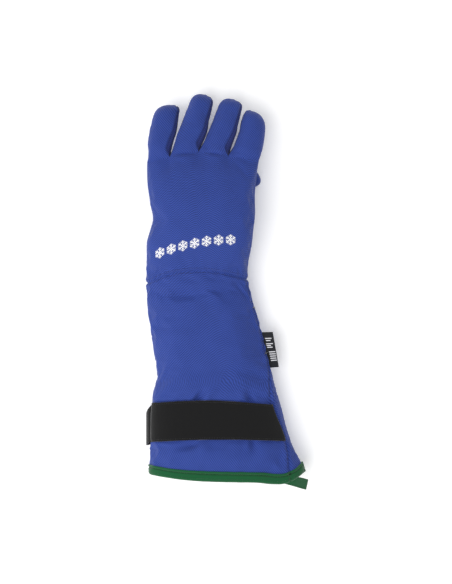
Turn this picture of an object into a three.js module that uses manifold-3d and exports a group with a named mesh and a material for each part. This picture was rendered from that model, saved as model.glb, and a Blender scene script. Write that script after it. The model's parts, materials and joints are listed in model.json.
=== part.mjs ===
// A cryogenic glove: an elbow-length, insulated right-hand glove, lying palm down with its thumb
// folded across under the palm. Millimetres, +Z up out of the back of the hand, +Y towards the
// fingertips, +X towards the little finger. Z = 0 is the bench that the glove lies on.
//
// Every wall is a stack of three layers: a waterproof woven shell, a felt insulation and a soft
// lining. The shell is cut into panels along the sewn seams. Fabric bends where it likes, so the
// bends are gathered into hinges: one at the wrist and one across the root of each finger, where
// a rounded end turns inside a hollow cut for it, and a swivel at the root of the thumb.

import * as THREE from 'three';
import { mergeVertices } from 'three/addons/utils/BufferGeometryUtils.js';
import Module from 'manifold-3d';

const wasm = await Module();
wasm.setup();

// ---------------------------------------------------------------- driving dimensions

const SEAM_GAP = 0.35;            // clearance between two neighbouring solids
const HINGE_GAP = 0.7;            // clearance round the nose of a hinge
const SWEEP_SPARE = 5;            // degrees of room beyond each limit of a hinge
const SHELL = 0.9;                // woven shell with its laminated membrane
const FELT = 4.2;                 // insulation
const LINING = 1.0;               // brushed lining
const FELT_START = SHELL + SEAM_GAP;
const LINING_START = FELT_START + FELT + SEAM_GAP;
const WALL = LINING_START + LINING;
const SQUARENESS = 2.5;           // superellipse exponent of a padded, flattened tube
const BODY_SIDES = 16;            // facets round the gauntlet and the hand
const FINGER_SIDES = 10;          // facets round a finger

// Gauntlet, from beyond its mouth up to beyond the wrist: y, left x, right x, bottom z, top z.
const HEM_LIFT = 1.55;            // the hem binding passes under the gauntlet here
const GAUNTLET_STATIONS = [
  [-292, -106, 106, HEM_LIFT, 57],
  [-238, -106, 103, HEM_LIFT, 56],
  [-230, -105.5, 97, 0, 55],
  [-150, -102.5, 74, 0, 48],
  [-112, -98.5, 63.5, 0, 46.5],
  [-30, -108.5, 41.5, 0, 46],
  [0, -110, 34, 1, 47],
  [45, -110, 31, 1, 47],
];
// Hand, from below the wrist to the crotches of the fingers, in the same form.
const PALM_FLOOR = 24.7;          // the folded thumb lies under the palm
const HAND_STATIONS = [
  [-12, -110, 34, 1, 47],
  [22, -110, 30.5, 1, 47],
  [46, -110, 32.5, 13, 60],
  [68, -108.5, 35.5, PALM_FLOOR, 67],
  [101, -101.5, 39.5, PALM_FLOOR, 71],
  [165, -109, 43, PALM_FLOOR, 64],
  [184, -109.5, 45, PALM_FLOOR, 56],
  [191, -104, 41, PALM_FLOOR + 4, 51],
];
const PALM_BACK_SPLIT = [[-300, 26], [0, 24], [70, 42], [150, 44], [260, 38]];   // y, z round the sides
const MOUTH_LINE = [[-130, -251.5], [130, -262.5]];                              // x, y of the mouth's edge
const SIDE_SEAM = [[38, 45], [45, -30], [60, -105], [63, -150], [83, -208], [90, -275]];   // x, y

// Wrist hinge
const WRIST = { y: 20, z: 24, radius: 22.8, up: 25, down: 35 };

// Fingers: hinge point, lean towards the little finger, length beyond the hinge, half-widths.
const KNUCKLE_Z = 39.5;
const FINGER_DROOP = 4;           // degrees below level at the root
const FINGER_CURVE = 11;          // further drop of the tip, along a parabola
const FINGER_HALF_DEPTH = 13.4;
const FINGER_ROOT = 20;           // length of the tube inside the hand
const TIP_ROUNDING = 17;
const FINGER_UP = 10;             // degrees of backward bend
const FINGER_DOWN = 50;           // degrees of curl
const FINGERS = [
  { name: 'index', x: -90.8, y: 197, lean: 12.5, length: 64.5, root: 14.8, width: 16.3, strips: [1] },
  { name: 'middle', x: -53.4, y: 204, lean: 18.3, length: 73.5, root: 17.2, width: 17.9, strips: [-1, 1] },
  { name: 'ring', x: -14.0, y: 200, lean: 17.5, length: 71.6, root: 17.6, width: 17.8, strips: [-1, 1] },
  { name: 'little', x: 25.6, y: 195, lean: 10.5, length: 57.6, root: 17.0, width: 16.4, strips: [-1] },
];
const FOURCHETTE_HALF = 5.5;      // half the depth of the strip between two fingers
const FOURCHETTE_END = 6;         // the strip runs out this far short of the fingertip

// Thumb: swivels about a vertical axis at its root, under the palm.
const THUMB = { x: -70, y: 90, z: 12, lean: 59.6, length: 134, width: 16.4, halfDepth: 12, hole: 11 };

// Trims
const BINDING = { width: 12.5, thickness: 1.2 };
const BINDING_TAIL = { outline: [[101, -253], [112.7, -260], [110, -273.9], [90, -266]], z: 27 };
const BINDING_TURNED_END = { outline: [[101, -249], [104.5, -236], [112.2, -248], [108, -257]], z: 31 };
const BINDING_FOLDED = 2.6;       // thickness of the folded tape at its loose ends
const STRAP = { top: -152, bottom: -206, thickness: 2.1, lowest: 28, rightTop: 66, rightBottom: 80 };
const STRAP_PATCH = { left: -94, right: -73, thickness: 1.2 };
const STRAP_LOOP_SHIFT = 4;       // the free end runs a little nearer the mouth than the band
const STRAP_LOOP = [[-107.6, 23], [-111.2, 20], [-110.6, 11], [-103, 4.4], [-92, 2.4], [-74, 1.4]];   // x, z
const LABEL = [[50.9, -56], [65.3, -55.6], [73.7, -104.7], [62.8, -105.6]];    // x, y
const LABEL_Z = 26;
const LABEL_THICKNESS = 1;

// Cutting blocks
const FAR = 400;                  // longer than anything here
const WRIST_REACH = 60;           // length of the room swept beyond the wrist
const FINGER_REACH = 120;         // length of the room swept beyond a knuckle
const FINGER_ASIDE = 60;          // half-width that takes in one finger and no other

// ---------------------------------------------------------------- finishes

const shellBlue = new THREE.MeshStandardMaterial({ color: 0x2f55b5, roughness: 0.85, metalness: 0 });
const stripBlue = new THREE.MeshStandardMaterial({ color: 0x24459c, roughness: 0.88, metalness: 0 });
const feltWhite = new THREE.MeshStandardMaterial({ color: 0xe4e2da, roughness: 1, metalness: 0 });
const liningGrey = new THREE.MeshStandardMaterial({ color: 0xb9bec6, roughness: 0.95, metalness: 0 });
const bindingGreen = new THREE.MeshStandardMaterial({ color: 0x2f8f5b, roughness: 0.8, metalness: 0 });
const webbingBlack = new THREE.MeshStandardMaterial({ color: 0x17181c, roughness: 0.9, metalness: 0 });

// ---------------------------------------------------------------- solids

const radians = THREE.MathUtils.degToRad;

function solidOf(geometry, matrix = new THREE.Matrix4()) {
  const bare = geometry.clone().applyMatrix4(matrix);
  bare.deleteAttribute('normal');
  bare.deleteAttribute('uv');
  const merged = mergeVertices(bare, 1e-4);
  const vertProperties = new Float32Array(merged.attributes.position.array);
  const triVerts = new Uint32Array(merged.index.array);
  return new wasm.Manifold(new wasm.Mesh({ numProp: 3, vertProperties, triVerts }));
}

function geometryOf(solid) {
  const mesh = solid.getMesh();
  const geometry = new THREE.BufferGeometry();
  geometry.setAttribute('position', new THREE.BufferAttribute(mesh.vertProperties, 3));
  geometry.setIndex(new THREE.BufferAttribute(mesh.triVerts, 1));
  geometry.computeVertexNormals();
  return geometry;
}

// A cut can leave a crumb beside the piece itself: the piece is the largest.
function largest(solid) {
  const bodies = solid.decompose();
  return bodies.reduce((best, body) => (body.volume() > best.volume() ? body : best));
}

const group = new THREE.Group();

function addPiece(name, solid, material) {
  const mesh = new THREE.Mesh(geometryOf(largest(solid)), material);
  mesh.name = name;
  group.add(mesh);
}

// One closed skin through a row of rings, each an equal count of points round the Y direction.
function loft(rings) {
  const sides = rings[0].length;
  const positions = [];
  const index = [];
  for (const ring of rings) {
    for (const point of ring) positions.push(point.x, point.y, point.z);
  }
  for (let row = 0; row < rings.length - 1; row += 1) {
    for (let side = 0; side < sides; side += 1) {
      const a = row * sides + side;
      const b = row * sides + ((side + 1) % sides);
      index.push(a, b + sides, b, a, a + sides, b + sides);
    }
  }
  const last = (rings.length - 1) * sides;
  for (let side = 1; side < sides - 1; side += 1) {
    index.push(0, side, side + 1, last, last + side + 1, last + side);
  }
  const geometry = new THREE.BufferGeometry();
  geometry.setAttribute('position', new THREE.Float32BufferAttribute(positions, 3));
  geometry.setIndex(index);
  return geometry;
}

// A ring of a flattened, padded tube, with a flat facet at its bottom and its top.
function ring(sides, centreX, y, centreZ, halfWidth, halfDepth) {
  const power = 2 / SQUARENESS;
  const step = (2 * Math.PI) / sides;
  const highest = Math.cos(step / 2) ** power;
  const widest = sides % 4 === 0 ? highest : 1;
  return Array.from({ length: sides }, (unused, side) => {
    const angle = Math.PI / 2 + (side + 0.5) * step;
    const across = (Math.sign(Math.cos(angle)) * Math.abs(Math.cos(angle)) ** power) / widest;
    const up = (Math.sign(Math.sin(angle)) * Math.abs(Math.sin(angle)) ** power) / highest;
    return new THREE.Vector3(centreX + halfWidth * across, y, centreZ + halfDepth * up);
  });
}

// The gauntlet or the hand, shrunk by an inset all round. A closed end is drawn in by it too.
function bodySolid(stations, inset, closedEnd) {
  const rings = stations.map(([y, left, right, bottom, top], row) => {
    const drawnIn = closedEnd && row >= stations.length - 2 ? inset : 0;
    const halfWidth = (right - left) / 2 - inset;
    const halfDepth = (top - bottom) / 2 - inset;
    return ring(BODY_SIDES, (left + right) / 2, y - drawnIn, (bottom + top) / 2, halfWidth, halfDepth);
  });
  return solidOf(loft(rings));
}

// A finger or the thumb in its own frame: the hinge at the origin, the digit along +Y. A hollow
// starts further back than what it is cut from, so that it is open towards the palm.
function digitSolid(digit, inset, isHollow = false) {
  const backwards = isHollow ? inset : -inset;
  const tipStart = digit.length - TIP_ROUNDING;
  const rows = [[-digit.back, digit.root], [tipStart * 0.5, digit.width], [tipStart, digit.width]];
  for (const turn of [0.6, 0.93]) {
    const shrink = Math.sqrt(1 - turn * turn);
    rows.push([tipStart + TIP_ROUNDING * turn, digit.width * shrink, shrink]);
  }
  const rings = rows.map(([y, halfWidth, shrink = 1]) => {
    const drawnIn = shrink < 1 ? inset : Math.max(-y, 0) / (digit.back || 1) * backwards;
    const drop = -digit.curve * (Math.max(y, 0) / digit.length) ** 2;
    const width = Math.max(halfWidth - inset * shrink, 1.5);
    const depth = Math.max(digit.halfDepth * shrink - inset * shrink, 1.2);
    return ring(FINGER_SIDES, 0, y - drawnIn, drop, width, depth);
  });
  return solidOf(loft(rings), digit.matrix);
}

// A flat outline in X and Y, drawn up along Z.
function uprightBlock(outline, low, high) {
  const shape = new THREE.Shape(outline.map(([x, y]) => new THREE.Vector2(x, y)));
  const geometry = new THREE.ExtrudeGeometry(shape, { depth: high - low, bevelEnabled: false });
  return solidOf(geometry, new THREE.Matrix4().makeTranslation(0, 0, low));
}

// An outline in Y and Z, drawn across along X, then placed by a matrix.
function crossBlock(shape, low, high, matrix = new THREE.Matrix4()) {
  const settings = { depth: high - low, bevelEnabled: false, curveSegments: 5 };
  const geometry = new THREE.ExtrudeGeometry(shape, settings);
  const across = new THREE.Matrix4().makeBasis(
    new THREE.Vector3(0, 1, 0), new THREE.Vector3(0, 0, 1), new THREE.Vector3(1, 0, 0));
  across.setPosition(low, 0, 0);
  return solidOf(geometry, matrix.clone().multiply(across));
}

function crossOutline(outline) {
  return new THREE.Shape(outline.map(([y, z]) => new THREE.Vector2(y, z)));
}

// All that lies beyond a hinge, with a round nose about its axis.
function noseShape(radius) {
  const shape = new THREE.Shape();
  shape.moveTo(FAR, -FAR);
  shape.lineTo(FAR, FAR);
  shape.lineTo(0, FAR);
  shape.lineTo(0, radius);
  shape.absarc(0, 0, radius, Math.PI / 2, 1.5 * Math.PI, false);
  shape.lineTo(0, -FAR);
  return shape;
}

// The room that such a nose and the tube behind it sweep between the two limits of a hinge.
function sweepShape(radius, up, down, reach) {
  const raised = radians(up + SWEEP_SPARE);
  const lowered = radians(down + SWEEP_SPARE);
  const upper = [-radius * Math.sin(raised), radius * Math.cos(raised)];
  const lower = [-radius * Math.sin(lowered), -radius * Math.cos(lowered)];
  const shape = new THREE.Shape();
  shape.moveTo(upper[0] + reach * Math.cos(raised), upper[1] + reach * Math.sin(raised));
  shape.lineTo(upper[0], upper[1]);
  shape.absarc(0, 0, radius, Math.PI / 2 + raised, 1.5 * Math.PI - lowered, false);
  shape.lineTo(lower[0] + reach * Math.cos(lowered), lower[1] - reach * Math.sin(lowered));
  return shape;
}

function hingeMatrix(x, y, z, lean, droop) {
  const turn = new THREE.Euler(-radians(droop), 0, -radians(lean), 'ZXY');
  return new THREE.Matrix4().makeRotationFromEuler(turn).setPosition(x, y, z);
}

// ---------------------------------------------------------------- digits

const fingers = FINGERS.map((finger) => ({
  ...finger,
  halfDepth: FINGER_HALF_DEPTH,
  back: FINGER_ROOT,
  curve: FINGER_CURVE,
  matrix: hingeMatrix(finger.x, finger.y, KNUCKLE_Z, finger.lean, FINGER_DROOP),
}));
const thumb = {
  ...THUMB,
  root: THUMB.width,
  back: THUMB.width,
  curve: 0,
  matrix: hingeMatrix(THUMB.x, THUMB.y, THUMB.z, THUMB.lean, 0),
};

const wristMatrix = new THREE.Matrix4().makeTranslation(0, WRIST.y, WRIST.z);
const handRegion = crossBlock(noseShape(WRIST.radius), -FAR, FAR, wristMatrix);
const wristRoom = crossBlock(
  sweepShape(WRIST.radius + HINGE_GAP, WRIST.up, WRIST.down, WRIST_REACH), -FAR, FAR, wristMatrix);
const wayIntoThumb = PALM_FLOOR + 1.3;   // from the middle of the thumb up through the palm
const thumbHole = solidOf(
  new THREE.CylinderGeometry(THUMB.hole, THUMB.hole, wayIntoThumb, 10).rotateX(Math.PI / 2),
  new THREE.Matrix4().makeTranslation(THUMB.x, THUMB.y, THUMB.z + wayIntoThumb / 2));

// The three layers, as insets of their outer and inner faces.
const LAYERS = {
  shell: [0, SHELL],
  insulation: [FELT_START, FELT_START + FELT],
  lining: [LINING_START, WALL],
};

// ---------------------------------------------------------------- gauntlet

// All that lies to the left of the side seam, or of a line to the right of it.
function leftOfSeam(offset) {
  const outline = [[-FAR, 45], ...SIDE_SEAM, [-FAR, -275]];
  return uprightBlock(outline.map(([x, y]) => [x + offset, y]).reverse(), -FAR, FAR);
}

// All that lies above or below the split round the sides, which can be taken a little lower.
function beyondSplit(lower, farZ) {
  const split = PALM_BACK_SPLIT.map(([y, z]) => [y, z - lower]);
  return crossBlock(crossOutline([...split, [260, farZ], [-300, farZ]]), -FAR, FAR);
}

// All that lies inside the edge of the mouth, or of a line that far from it.
function insideMouth(offset) {
  const edge = MOUTH_LINE.map(([x, y]) => [x, y + offset]);
  return uprightBlock([...edge, [130, FAR], [-130, FAR]], -FAR, FAR);
}

function gauntletLayer([outer, inner]) {
  return bodySolid(GAUNTLET_STATIONS, outer, false)
    .subtract(bodySolid(GAUNTLET_STATIONS, inner, false))
    .intersect(insideMouth(0))
    .subtract(wristRoom);
}

function addGauntlet() {
  const shell = gauntletLayer(LAYERS.shell);
  const backPanel = shell.intersect(beyondSplit(0, FAR)).intersect(leftOfSeam(0));
  const palmPanel = shell.subtract(beyondSplit(SEAM_GAP, FAR).intersect(leftOfSeam(SEAM_GAP)));
  addPiece('gauntlet_back_panel', backPanel, shellBlue);
  addPiece('gauntlet_palm_panel', palmPanel, shellBlue);
  addPiece('gauntlet_insulation', gauntletLayer(LAYERS.insulation), feltWhite);
  addPiece('gauntlet_lining', gauntletLayer(LAYERS.lining), liningGrey);
}

// The binding is folded over the edges of all three layers, and its two ends stick out beyond the
// side seam, one turned down and one turned up.
function addHemBinding() {
  const outside = SEAM_GAP + BINDING.thickness;
  const inside = WALL + SEAM_GAP;
  const edgeRoom = bodySolid(GAUNTLET_STATIONS, -SEAM_GAP, false).intersect(insideMouth(-SEAM_GAP));
  const stack = edgeRoom.subtract(bodySolid(GAUNTLET_STATIONS, inside, false));
  const band = bodySolid(GAUNTLET_STATIONS, -outside, false)
    .subtract(bodySolid(GAUNTLET_STATIONS, inside + BINDING.thickness, false))
    .intersect(insideMouth(-outside))
    .subtract(insideMouth(BINDING.width));
  const [tail, turnedEnd] = [BINDING_TAIL, BINDING_TURNED_END].map(
    ({ outline, z }) => uprightBlock(outline, z, z + BINDING_FOLDED));
  const ends = tail.add(turnedEnd).subtract(edgeRoom);
  addPiece('hem_binding', band.subtract(stack).add(ends), bindingGreen);
}

// ---------------------------------------------------------------- strap and label

// The length of gauntlet that the strap crosses, from one X to another at its lower and upper edges.
function strapRegion([leftBottom, rightBottom, rightTop, leftTop], low, high) {
  const lowerEdge = [[leftBottom, STRAP.bottom], [rightBottom, STRAP.bottom]];
  const upperEdge = [[rightTop, STRAP.top], [leftTop, STRAP.top]];
  return uprightBlock([...lowerEdge, ...upperEdge], low, high);
}

function thickOutline(points, thickness) {
  const curve = new THREE.CatmullRomCurve3(points.map(([x, z]) => new THREE.Vector3(x, z, 0)));
  const steps = 12;
  const outer = [];
  const inner = [];
  for (let step = 0; step <= steps; step += 1) {
    const point = curve.getPoint(step / steps);
    const along = curve.getTangent(step / steps);
    outer.push([point.x + along.y * thickness * 0.5, point.y - along.x * thickness * 0.5]);
    inner.push([point.x - along.y * thickness * 0.5, point.y + along.x * thickness * 0.5]);
  }
  return [...outer, ...inner.reverse()];
}

function addStrap() {
  const offset = SEAM_GAP + STRAP.thickness;
  const sewnTo = bodySolid(GAUNTLET_STATIONS, -SEAM_GAP, false);
  const band = bodySolid(GAUNTLET_STATIONS, -offset, false)
    .subtract(sewnTo)
    .intersect(strapRegion([-FAR, STRAP.rightBottom, STRAP.rightTop, -FAR], STRAP.lowest, FAR));
  const { left, right } = STRAP_PATCH;
  const patch = bodySolid(GAUNTLET_STATIONS, -STRAP_PATCH.thickness, false)
    .subtract(sewnTo)
    .intersect(strapRegion([left, right, right, left], -FAR, STRAP.lowest));
  // The loop stands out beyond the edge of the gauntlet and is drawn along -Y from its top edge.
  const outline = thickOutline(STRAP_LOOP, STRAP.thickness);
  const shape = new THREE.Shape(outline.map(([x, z]) => new THREE.Vector2(x, z)));
  const loop = new THREE.ExtrudeGeometry(shape, { depth: STRAP.top - STRAP.bottom, bevelEnabled: false });
  const stand = new THREE.Matrix4().makeRotationX(Math.PI / 2)
    .setPosition(0, STRAP.top - STRAP_LOOP_SHIFT, 0);
  addPiece('strap_band', band, webbingBlack);
  addPiece('strap_loop_patch', patch, webbingBlack);
  addPiece('strap_tab', solidOf(loop, stand), webbingBlack);
}

function addLabel() {
  const low = LABEL_Z - LABEL_THICKNESS / 2;
  addPiece('side_label', uprightBlock(LABEL.slice().reverse(), low, low + LABEL_THICKNESS), webbingBlack);
}

// ---------------------------------------------------------------- hand

function allHand(inset, isHollow = false) {
  const stubs = fingers.map((finger) => digitSolid(finger, inset, isHollow));
  return stubs.reduce((whole, stub) => whole.add(stub), bodySolid(HAND_STATIONS, inset, true));
}

const fingerRooms = fingers.map((finger) => {
  const half = Math.max(finger.width, finger.root) + SEAM_GAP;
  const shape = sweepShape(FINGER_HALF_DEPTH + HINGE_GAP, FINGER_UP, FINGER_DOWN, FINGER_REACH);
  return crossBlock(shape, -half, half, finger.matrix);
});

function handLayer([outer, inner]) {
  const layer = allHand(outer).subtract(allHand(inner, true)).intersect(handRegion).subtract(thumbHole);
  return fingerRooms.reduce((rest, room) => rest.subtract(room), layer);
}

function addHand() {
  const shell = handLayer(LAYERS.shell);
  addPiece('hand_back_panel', shell.intersect(beyondSplit(0, FAR)), shellBlue);
  addPiece('hand_palm_panel', shell.intersect(beyondSplit(SEAM_GAP, -FAR)), shellBlue);
  addPiece('hand_insulation', handLayer(LAYERS.insulation), feltWhite);
  addPiece('hand_lining', handLayer(LAYERS.lining), liningGrey);
}

// ---------------------------------------------------------------- fingers and thumb

function digitLayer(digit, [outer, inner], region) {
  return digitSolid(digit, outer).subtract(digitSolid(digit, inner, true)).intersect(region);
}

// The strip between two fingers is widest at the root and runs out at the tip.
function fourchetteBlock(finger, side, growth) {
  const half = FOURCHETTE_HALF + growth;
  const tip = finger.length - FOURCHETTE_END + growth;
  const tipHalf = 1 + growth;
  const dropAt = (y) => -FINGER_CURVE * (y / finger.length) ** 2;
  const middleY = finger.length * 0.4;
  const outline = [[-FAR, -half], [middleY, dropAt(middleY) - half], [tip, dropAt(tip) - tipHalf],
    [tip, dropAt(tip) + tipHalf], [middleY, dropAt(middleY) + half], [-FAR, half]];
  const inmost = 2 - growth;
  const [low, high] = side > 0 ? [inmost, FINGER_ASIDE] : [-FINGER_ASIDE, -inmost];
  return crossBlock(crossOutline(outline), low, high, finger.matrix);
}

function addFinger(finger) {
  const region = crossBlock(noseShape(FINGER_HALF_DEPTH), -FINGER_ASIDE, FINGER_ASIDE, finger.matrix);
  const shell = digitLayer(finger, LAYERS.shell, region);
  const drop = -FINGER_CURVE;
  const middle = [[-FAR, 0], [finger.length * 0.35, -1], [finger.length * 0.7, drop * 0.5], [FAR, drop]];
  const beyondMiddle = (lower, farZ) => crossBlock(
    crossOutline([...middle.map(([y, z]) => [y, z - lower]), [FAR, farZ], [-FAR, farZ]]),
    -FINGER_ASIDE, FINGER_ASIDE, finger.matrix);
  let back = shell.intersect(beyondMiddle(0, FAR));
  let palm = shell.intersect(beyondMiddle(SEAM_GAP, -FAR));
  for (const side of finger.strips) {
    const strip = fourchetteBlock(finger, side, 0);
    const room = fourchetteBlock(finger, side, SEAM_GAP);
    const suffix = side > 0 ? 'right' : 'left';
    addPiece(`${finger.name}_fourchette_${suffix}`, shell.intersect(strip), stripBlue);
    back = back.subtract(room);
    palm = palm.subtract(room);
  }
  addPiece(`${finger.name}_back_panel`, back, shellBlue);
  addPiece(`${finger.name}_palm_panel`, palm, shellBlue);
  addPiece(`${finger.name}_insulation`, digitLayer(finger, LAYERS.insulation, region), feltWhite);
  addPiece(`${finger.name}_lining`, digitLayer(finger, LAYERS.lining, region), liningGrey);
}

// The thumb's root is a half round about its upright axis, with a hole in its top for the way in.
function addThumb() {
  const square = [[-FAR, -FAR], [FAR, -FAR], [FAR, FAR], [-FAR, FAR]];
  const shell = thumbLayer(LAYERS.shell);
  addPiece('thumb_inner_panel', shell.intersect(uprightBlock(square, THUMB.z, FAR)), shellBlue);
  addPiece('thumb_outer_panel', shell.intersect(uprightBlock(square, -FAR, THUMB.z - SEAM_GAP)), shellBlue);
  addPiece('thumb_insulation', thumbLayer(LAYERS.insulation), feltWhite);
  addPiece('thumb_lining', thumbLayer(LAYERS.lining), liningGrey);
}

function thumbSolid(inset) {
  const root = new THREE.CylinderGeometry(1, 1, 1, 12).rotateX(Math.PI / 2);
  const size = new THREE.Matrix4().makeScale(
    THUMB.width - inset, THUMB.width - inset, 2 * (THUMB.halfDepth - inset));
  return digitSolid({ ...thumb, back: 0 }, inset).add(solidOf(root, thumb.matrix.clone().multiply(size)));
}

function thumbLayer([outer, inner]) {
  return thumbSolid(outer).subtract(thumbSolid(inner)).subtract(thumbHole);
}

// ---------------------------------------------------------------- the glove

addGauntlet();
addHemBinding();
addStrap();
addLabel();
addHand();
fingers.forEach(addFinger);
addThumb();

export default group;
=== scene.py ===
import json
import math

import bpy
import numpy as np
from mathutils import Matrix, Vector


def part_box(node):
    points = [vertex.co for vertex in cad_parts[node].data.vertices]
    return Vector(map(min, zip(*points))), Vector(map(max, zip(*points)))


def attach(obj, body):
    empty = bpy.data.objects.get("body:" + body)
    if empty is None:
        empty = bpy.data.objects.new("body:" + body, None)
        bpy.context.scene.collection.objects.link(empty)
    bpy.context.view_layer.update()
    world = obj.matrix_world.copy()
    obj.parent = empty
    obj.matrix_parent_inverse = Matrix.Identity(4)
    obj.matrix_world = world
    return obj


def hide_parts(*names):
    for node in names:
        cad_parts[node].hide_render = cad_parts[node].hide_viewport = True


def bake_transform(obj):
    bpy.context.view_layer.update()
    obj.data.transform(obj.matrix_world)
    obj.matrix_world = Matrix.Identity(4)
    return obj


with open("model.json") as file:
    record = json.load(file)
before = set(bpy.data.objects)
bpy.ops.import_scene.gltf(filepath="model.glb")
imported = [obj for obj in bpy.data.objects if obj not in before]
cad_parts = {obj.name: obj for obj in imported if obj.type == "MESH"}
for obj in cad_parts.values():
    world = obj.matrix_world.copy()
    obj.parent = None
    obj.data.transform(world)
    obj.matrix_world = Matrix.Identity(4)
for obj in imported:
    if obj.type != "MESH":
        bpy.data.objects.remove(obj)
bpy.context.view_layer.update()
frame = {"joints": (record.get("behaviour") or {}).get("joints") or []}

# One cryogenic glove for the right hand, palm down, thumb folded under the palm.
# +Z is up out of the back of the hand, +Y runs from the mouth to the fingertips, +X towards the
# little finger. Lengths are millimetres in that frame until a mesh is made, then metres.
MM = 0.001

# ---------------------------------------------------------------- driving dimensions

# the plan outline and the height of gauntlet and hand, as (y, value)
LEFT_EDGE = [(-268, -106.5), (-238, -106), (-215, -105), (-160, -103.5), (-138, -101), (-121, -96.8),
             (-100, -98.4), (-76, -102), (-50, -105.4), (-26, -109), (0, -110.3), (50, -110.3), (68, -109),
             (85, -105), (101, -101.3), (124, -105), (145, -108.2), (174, -109.3), (200, -108)]
RIGHT_EDGE = [(-268, 111), (-238, 104.5), (-226, 98), (-210, 91.3), (-193, 85.7), (-176, 81), (-160, 77),
              (-143, 71.6), (-110, 63), (-90, 58), (-54, 49), (-37, 44.5), (-21, 39.6), (-4, 35), (12, 31),
              (40, 30.8), (57, 34), (79, 37.2), (101, 39.6), (140, 40.5), (165, 43), (185, 45.5), (200, 47)]
TOP_HEIGHT = [(-268, 57), (-230, 55), (-150, 49), (-110, 47), (-30, 46), (5, 47), (22, 49.5), (46, 58),
              (68, 65), (101, 70), (140, 68), (165, 63), (184, 56.5), (200, 53)]
BOTTOM_HEIGHT = [(-268, 1.8), (-230, 1.2), (-150, 1), (0, 1.2), (22, 3), (46, 14), (68, 24.8), (101, 25.2),
                 (165, 25.4), (184, 26), (200, 27.5)]
SIDE_SEAM = [(-275, 90), (-208, 83), (-150, 63), (-105, 60), (-30, 45)]      # (y, x)

# seams and edges that cross the glove, as (share of the half width, y)
MOUTH_EDGE = [(-1, -252), (-0.6, -257.5), (0.4, -261.5), (0.76, -262.5), (0.88, -257.5), (1, -249.5)]
MOUTH_UNDER = [(-1, -252), (-0.4, -255), (0.5, -256), (0.88, -253), (1, -249.5)]
WRIST_SEAM = [(-1, 12.5), (-0.55, 24.5), (0, 29.5), (0.5, 26.5), (1, 18)]
KNUCKLE_LINE = [(-1, 180), (-0.606, 185), (-0.35, 190), (-0.086, 193), (0.18, 191), (0.443, 186),
                (0.75, 185), (1, 180)]
CROTCH_X = [-78.5, -38.2, 2.8]

# squareness of the sections: 2 is an ellipse
TOP_SQUARE = 2.5
UNDER_SQUARE = 3.0
FINGER_SQUARE = 2.25
TIP_SQUARE = 2.5

# the mesh: columns run round the glove, from the left edge over the back
HALF = 48
AROUND = 2 * HALF
SEAM_COLUMN = 42
PER_FINGER = 12
WEB_STEPS = 6
GAUNTLET_ROWS = 62
HAND_ROWS = 36
JOIN_ROWS = 7
ROW_STEP = 4.2
TIP_ROWS = 7
LAST_TURN = math.pi / 2 * 0.93      # the last ring of a rounded end, just short of its pole
JOIN_LENGTH = 15                    # a finger takes on its own section over this length

# each finger's edges in plan from root to tip, (x, y)
FINGERS = {
    "index": {"left": [(-109.6, 178), (-108.4, 203), (-105.6, 224), (-103, 238), (-101, 255)],
              "right": [(-79, 185), (-73.4, 205), (-68, 226), (-66.4, 238), (-64.5, 255)],
              "reach": 65.2, "round_left": 34, "round_right": 9, "tip": 6},
    "middle": {"left": [(-78, 185), (-72, 205), (-65.2, 226), (-60.2, 239), (-52.6, 258)],
               "right": [(-38.6, 193), (-31.6, 208), (-25.6, 224), (-23, 240), (-18.5, 262)],
               "reach": 74.6, "round_left": 17, "round_right": 11, "tip": 2},
    "ring": {"left": [(-37.8, 193), (-30.4, 209), (-24, 224), (-18.4, 238), (-11.5, 257)],
             "right": [(2.4, 186), (9.4, 206), (15, 222), (18.4, 238), (22.5, 258)],
             "reach": 72.6, "round_left": 19, "round_right": 9, "tip": 3},
    "little": {"left": [(3.2, 186), (12.4, 207), (18, 223), (21.3, 238), (25, 250)],
               "right": [(46, 180), (51, 203), (54, 221), (55, 236), (56, 250)],
               "reach": 58.4, "round_left": 13, "round_right": 24, "tip": -5},
}
ORDER = list(FINGERS)
FINGER_DEPTH = 13.6                 # half the height of a finger
FINGER_DROOP = math.tan(math.radians(4))
FINGER_CURVE = 11                   # how far a fingertip drops below the straight line
STRIP_AT_ROOT, STRIP_AT_TIP = 58, 24    # degrees above the middle at which a fourchette starts
TIP_DEPTH_ROUND = 15

# the wall, counted inwards from the outer face
SHELL = 0.9
FELT = (1.25, 5.45)
LINING = (5.8, 6.8)

# the cuff strap: a band across the back, and an end that goes round the left edge and underneath
STRAP_TOP = [(-107, -154.5), (-60, -151), (0, -150), (70, -156)]            # (x, y)
STRAP_BOTTOM = [(-107, -208.5), (-60, -205), (0, -204), (84, -207)]
STRAP_TOP_Y, STRAP_BOTTOM_Y = -152, -206
STRAP_THICK = 2.1

# cloth simulation of the shell
CLOTH_FRAMES = 20
CLOTH_CAP = 3.5
CLOTH_SPARE = -0.012                # cloth to spare, so that it puckers between its seams
FINGER_SHARE = 0.45

# the printed row of snow crystals on the knuckles, (x, y) of its centre line
PRINT_LINE = [(-100, 51), (-65, 62), (-40, 67.5), (-15, 71), (12, 71.5), (30, 70)]
PRINT_START_X = -99.0
PRINT_PITCH = 16.6
PRINT_COUNT = 7

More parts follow.
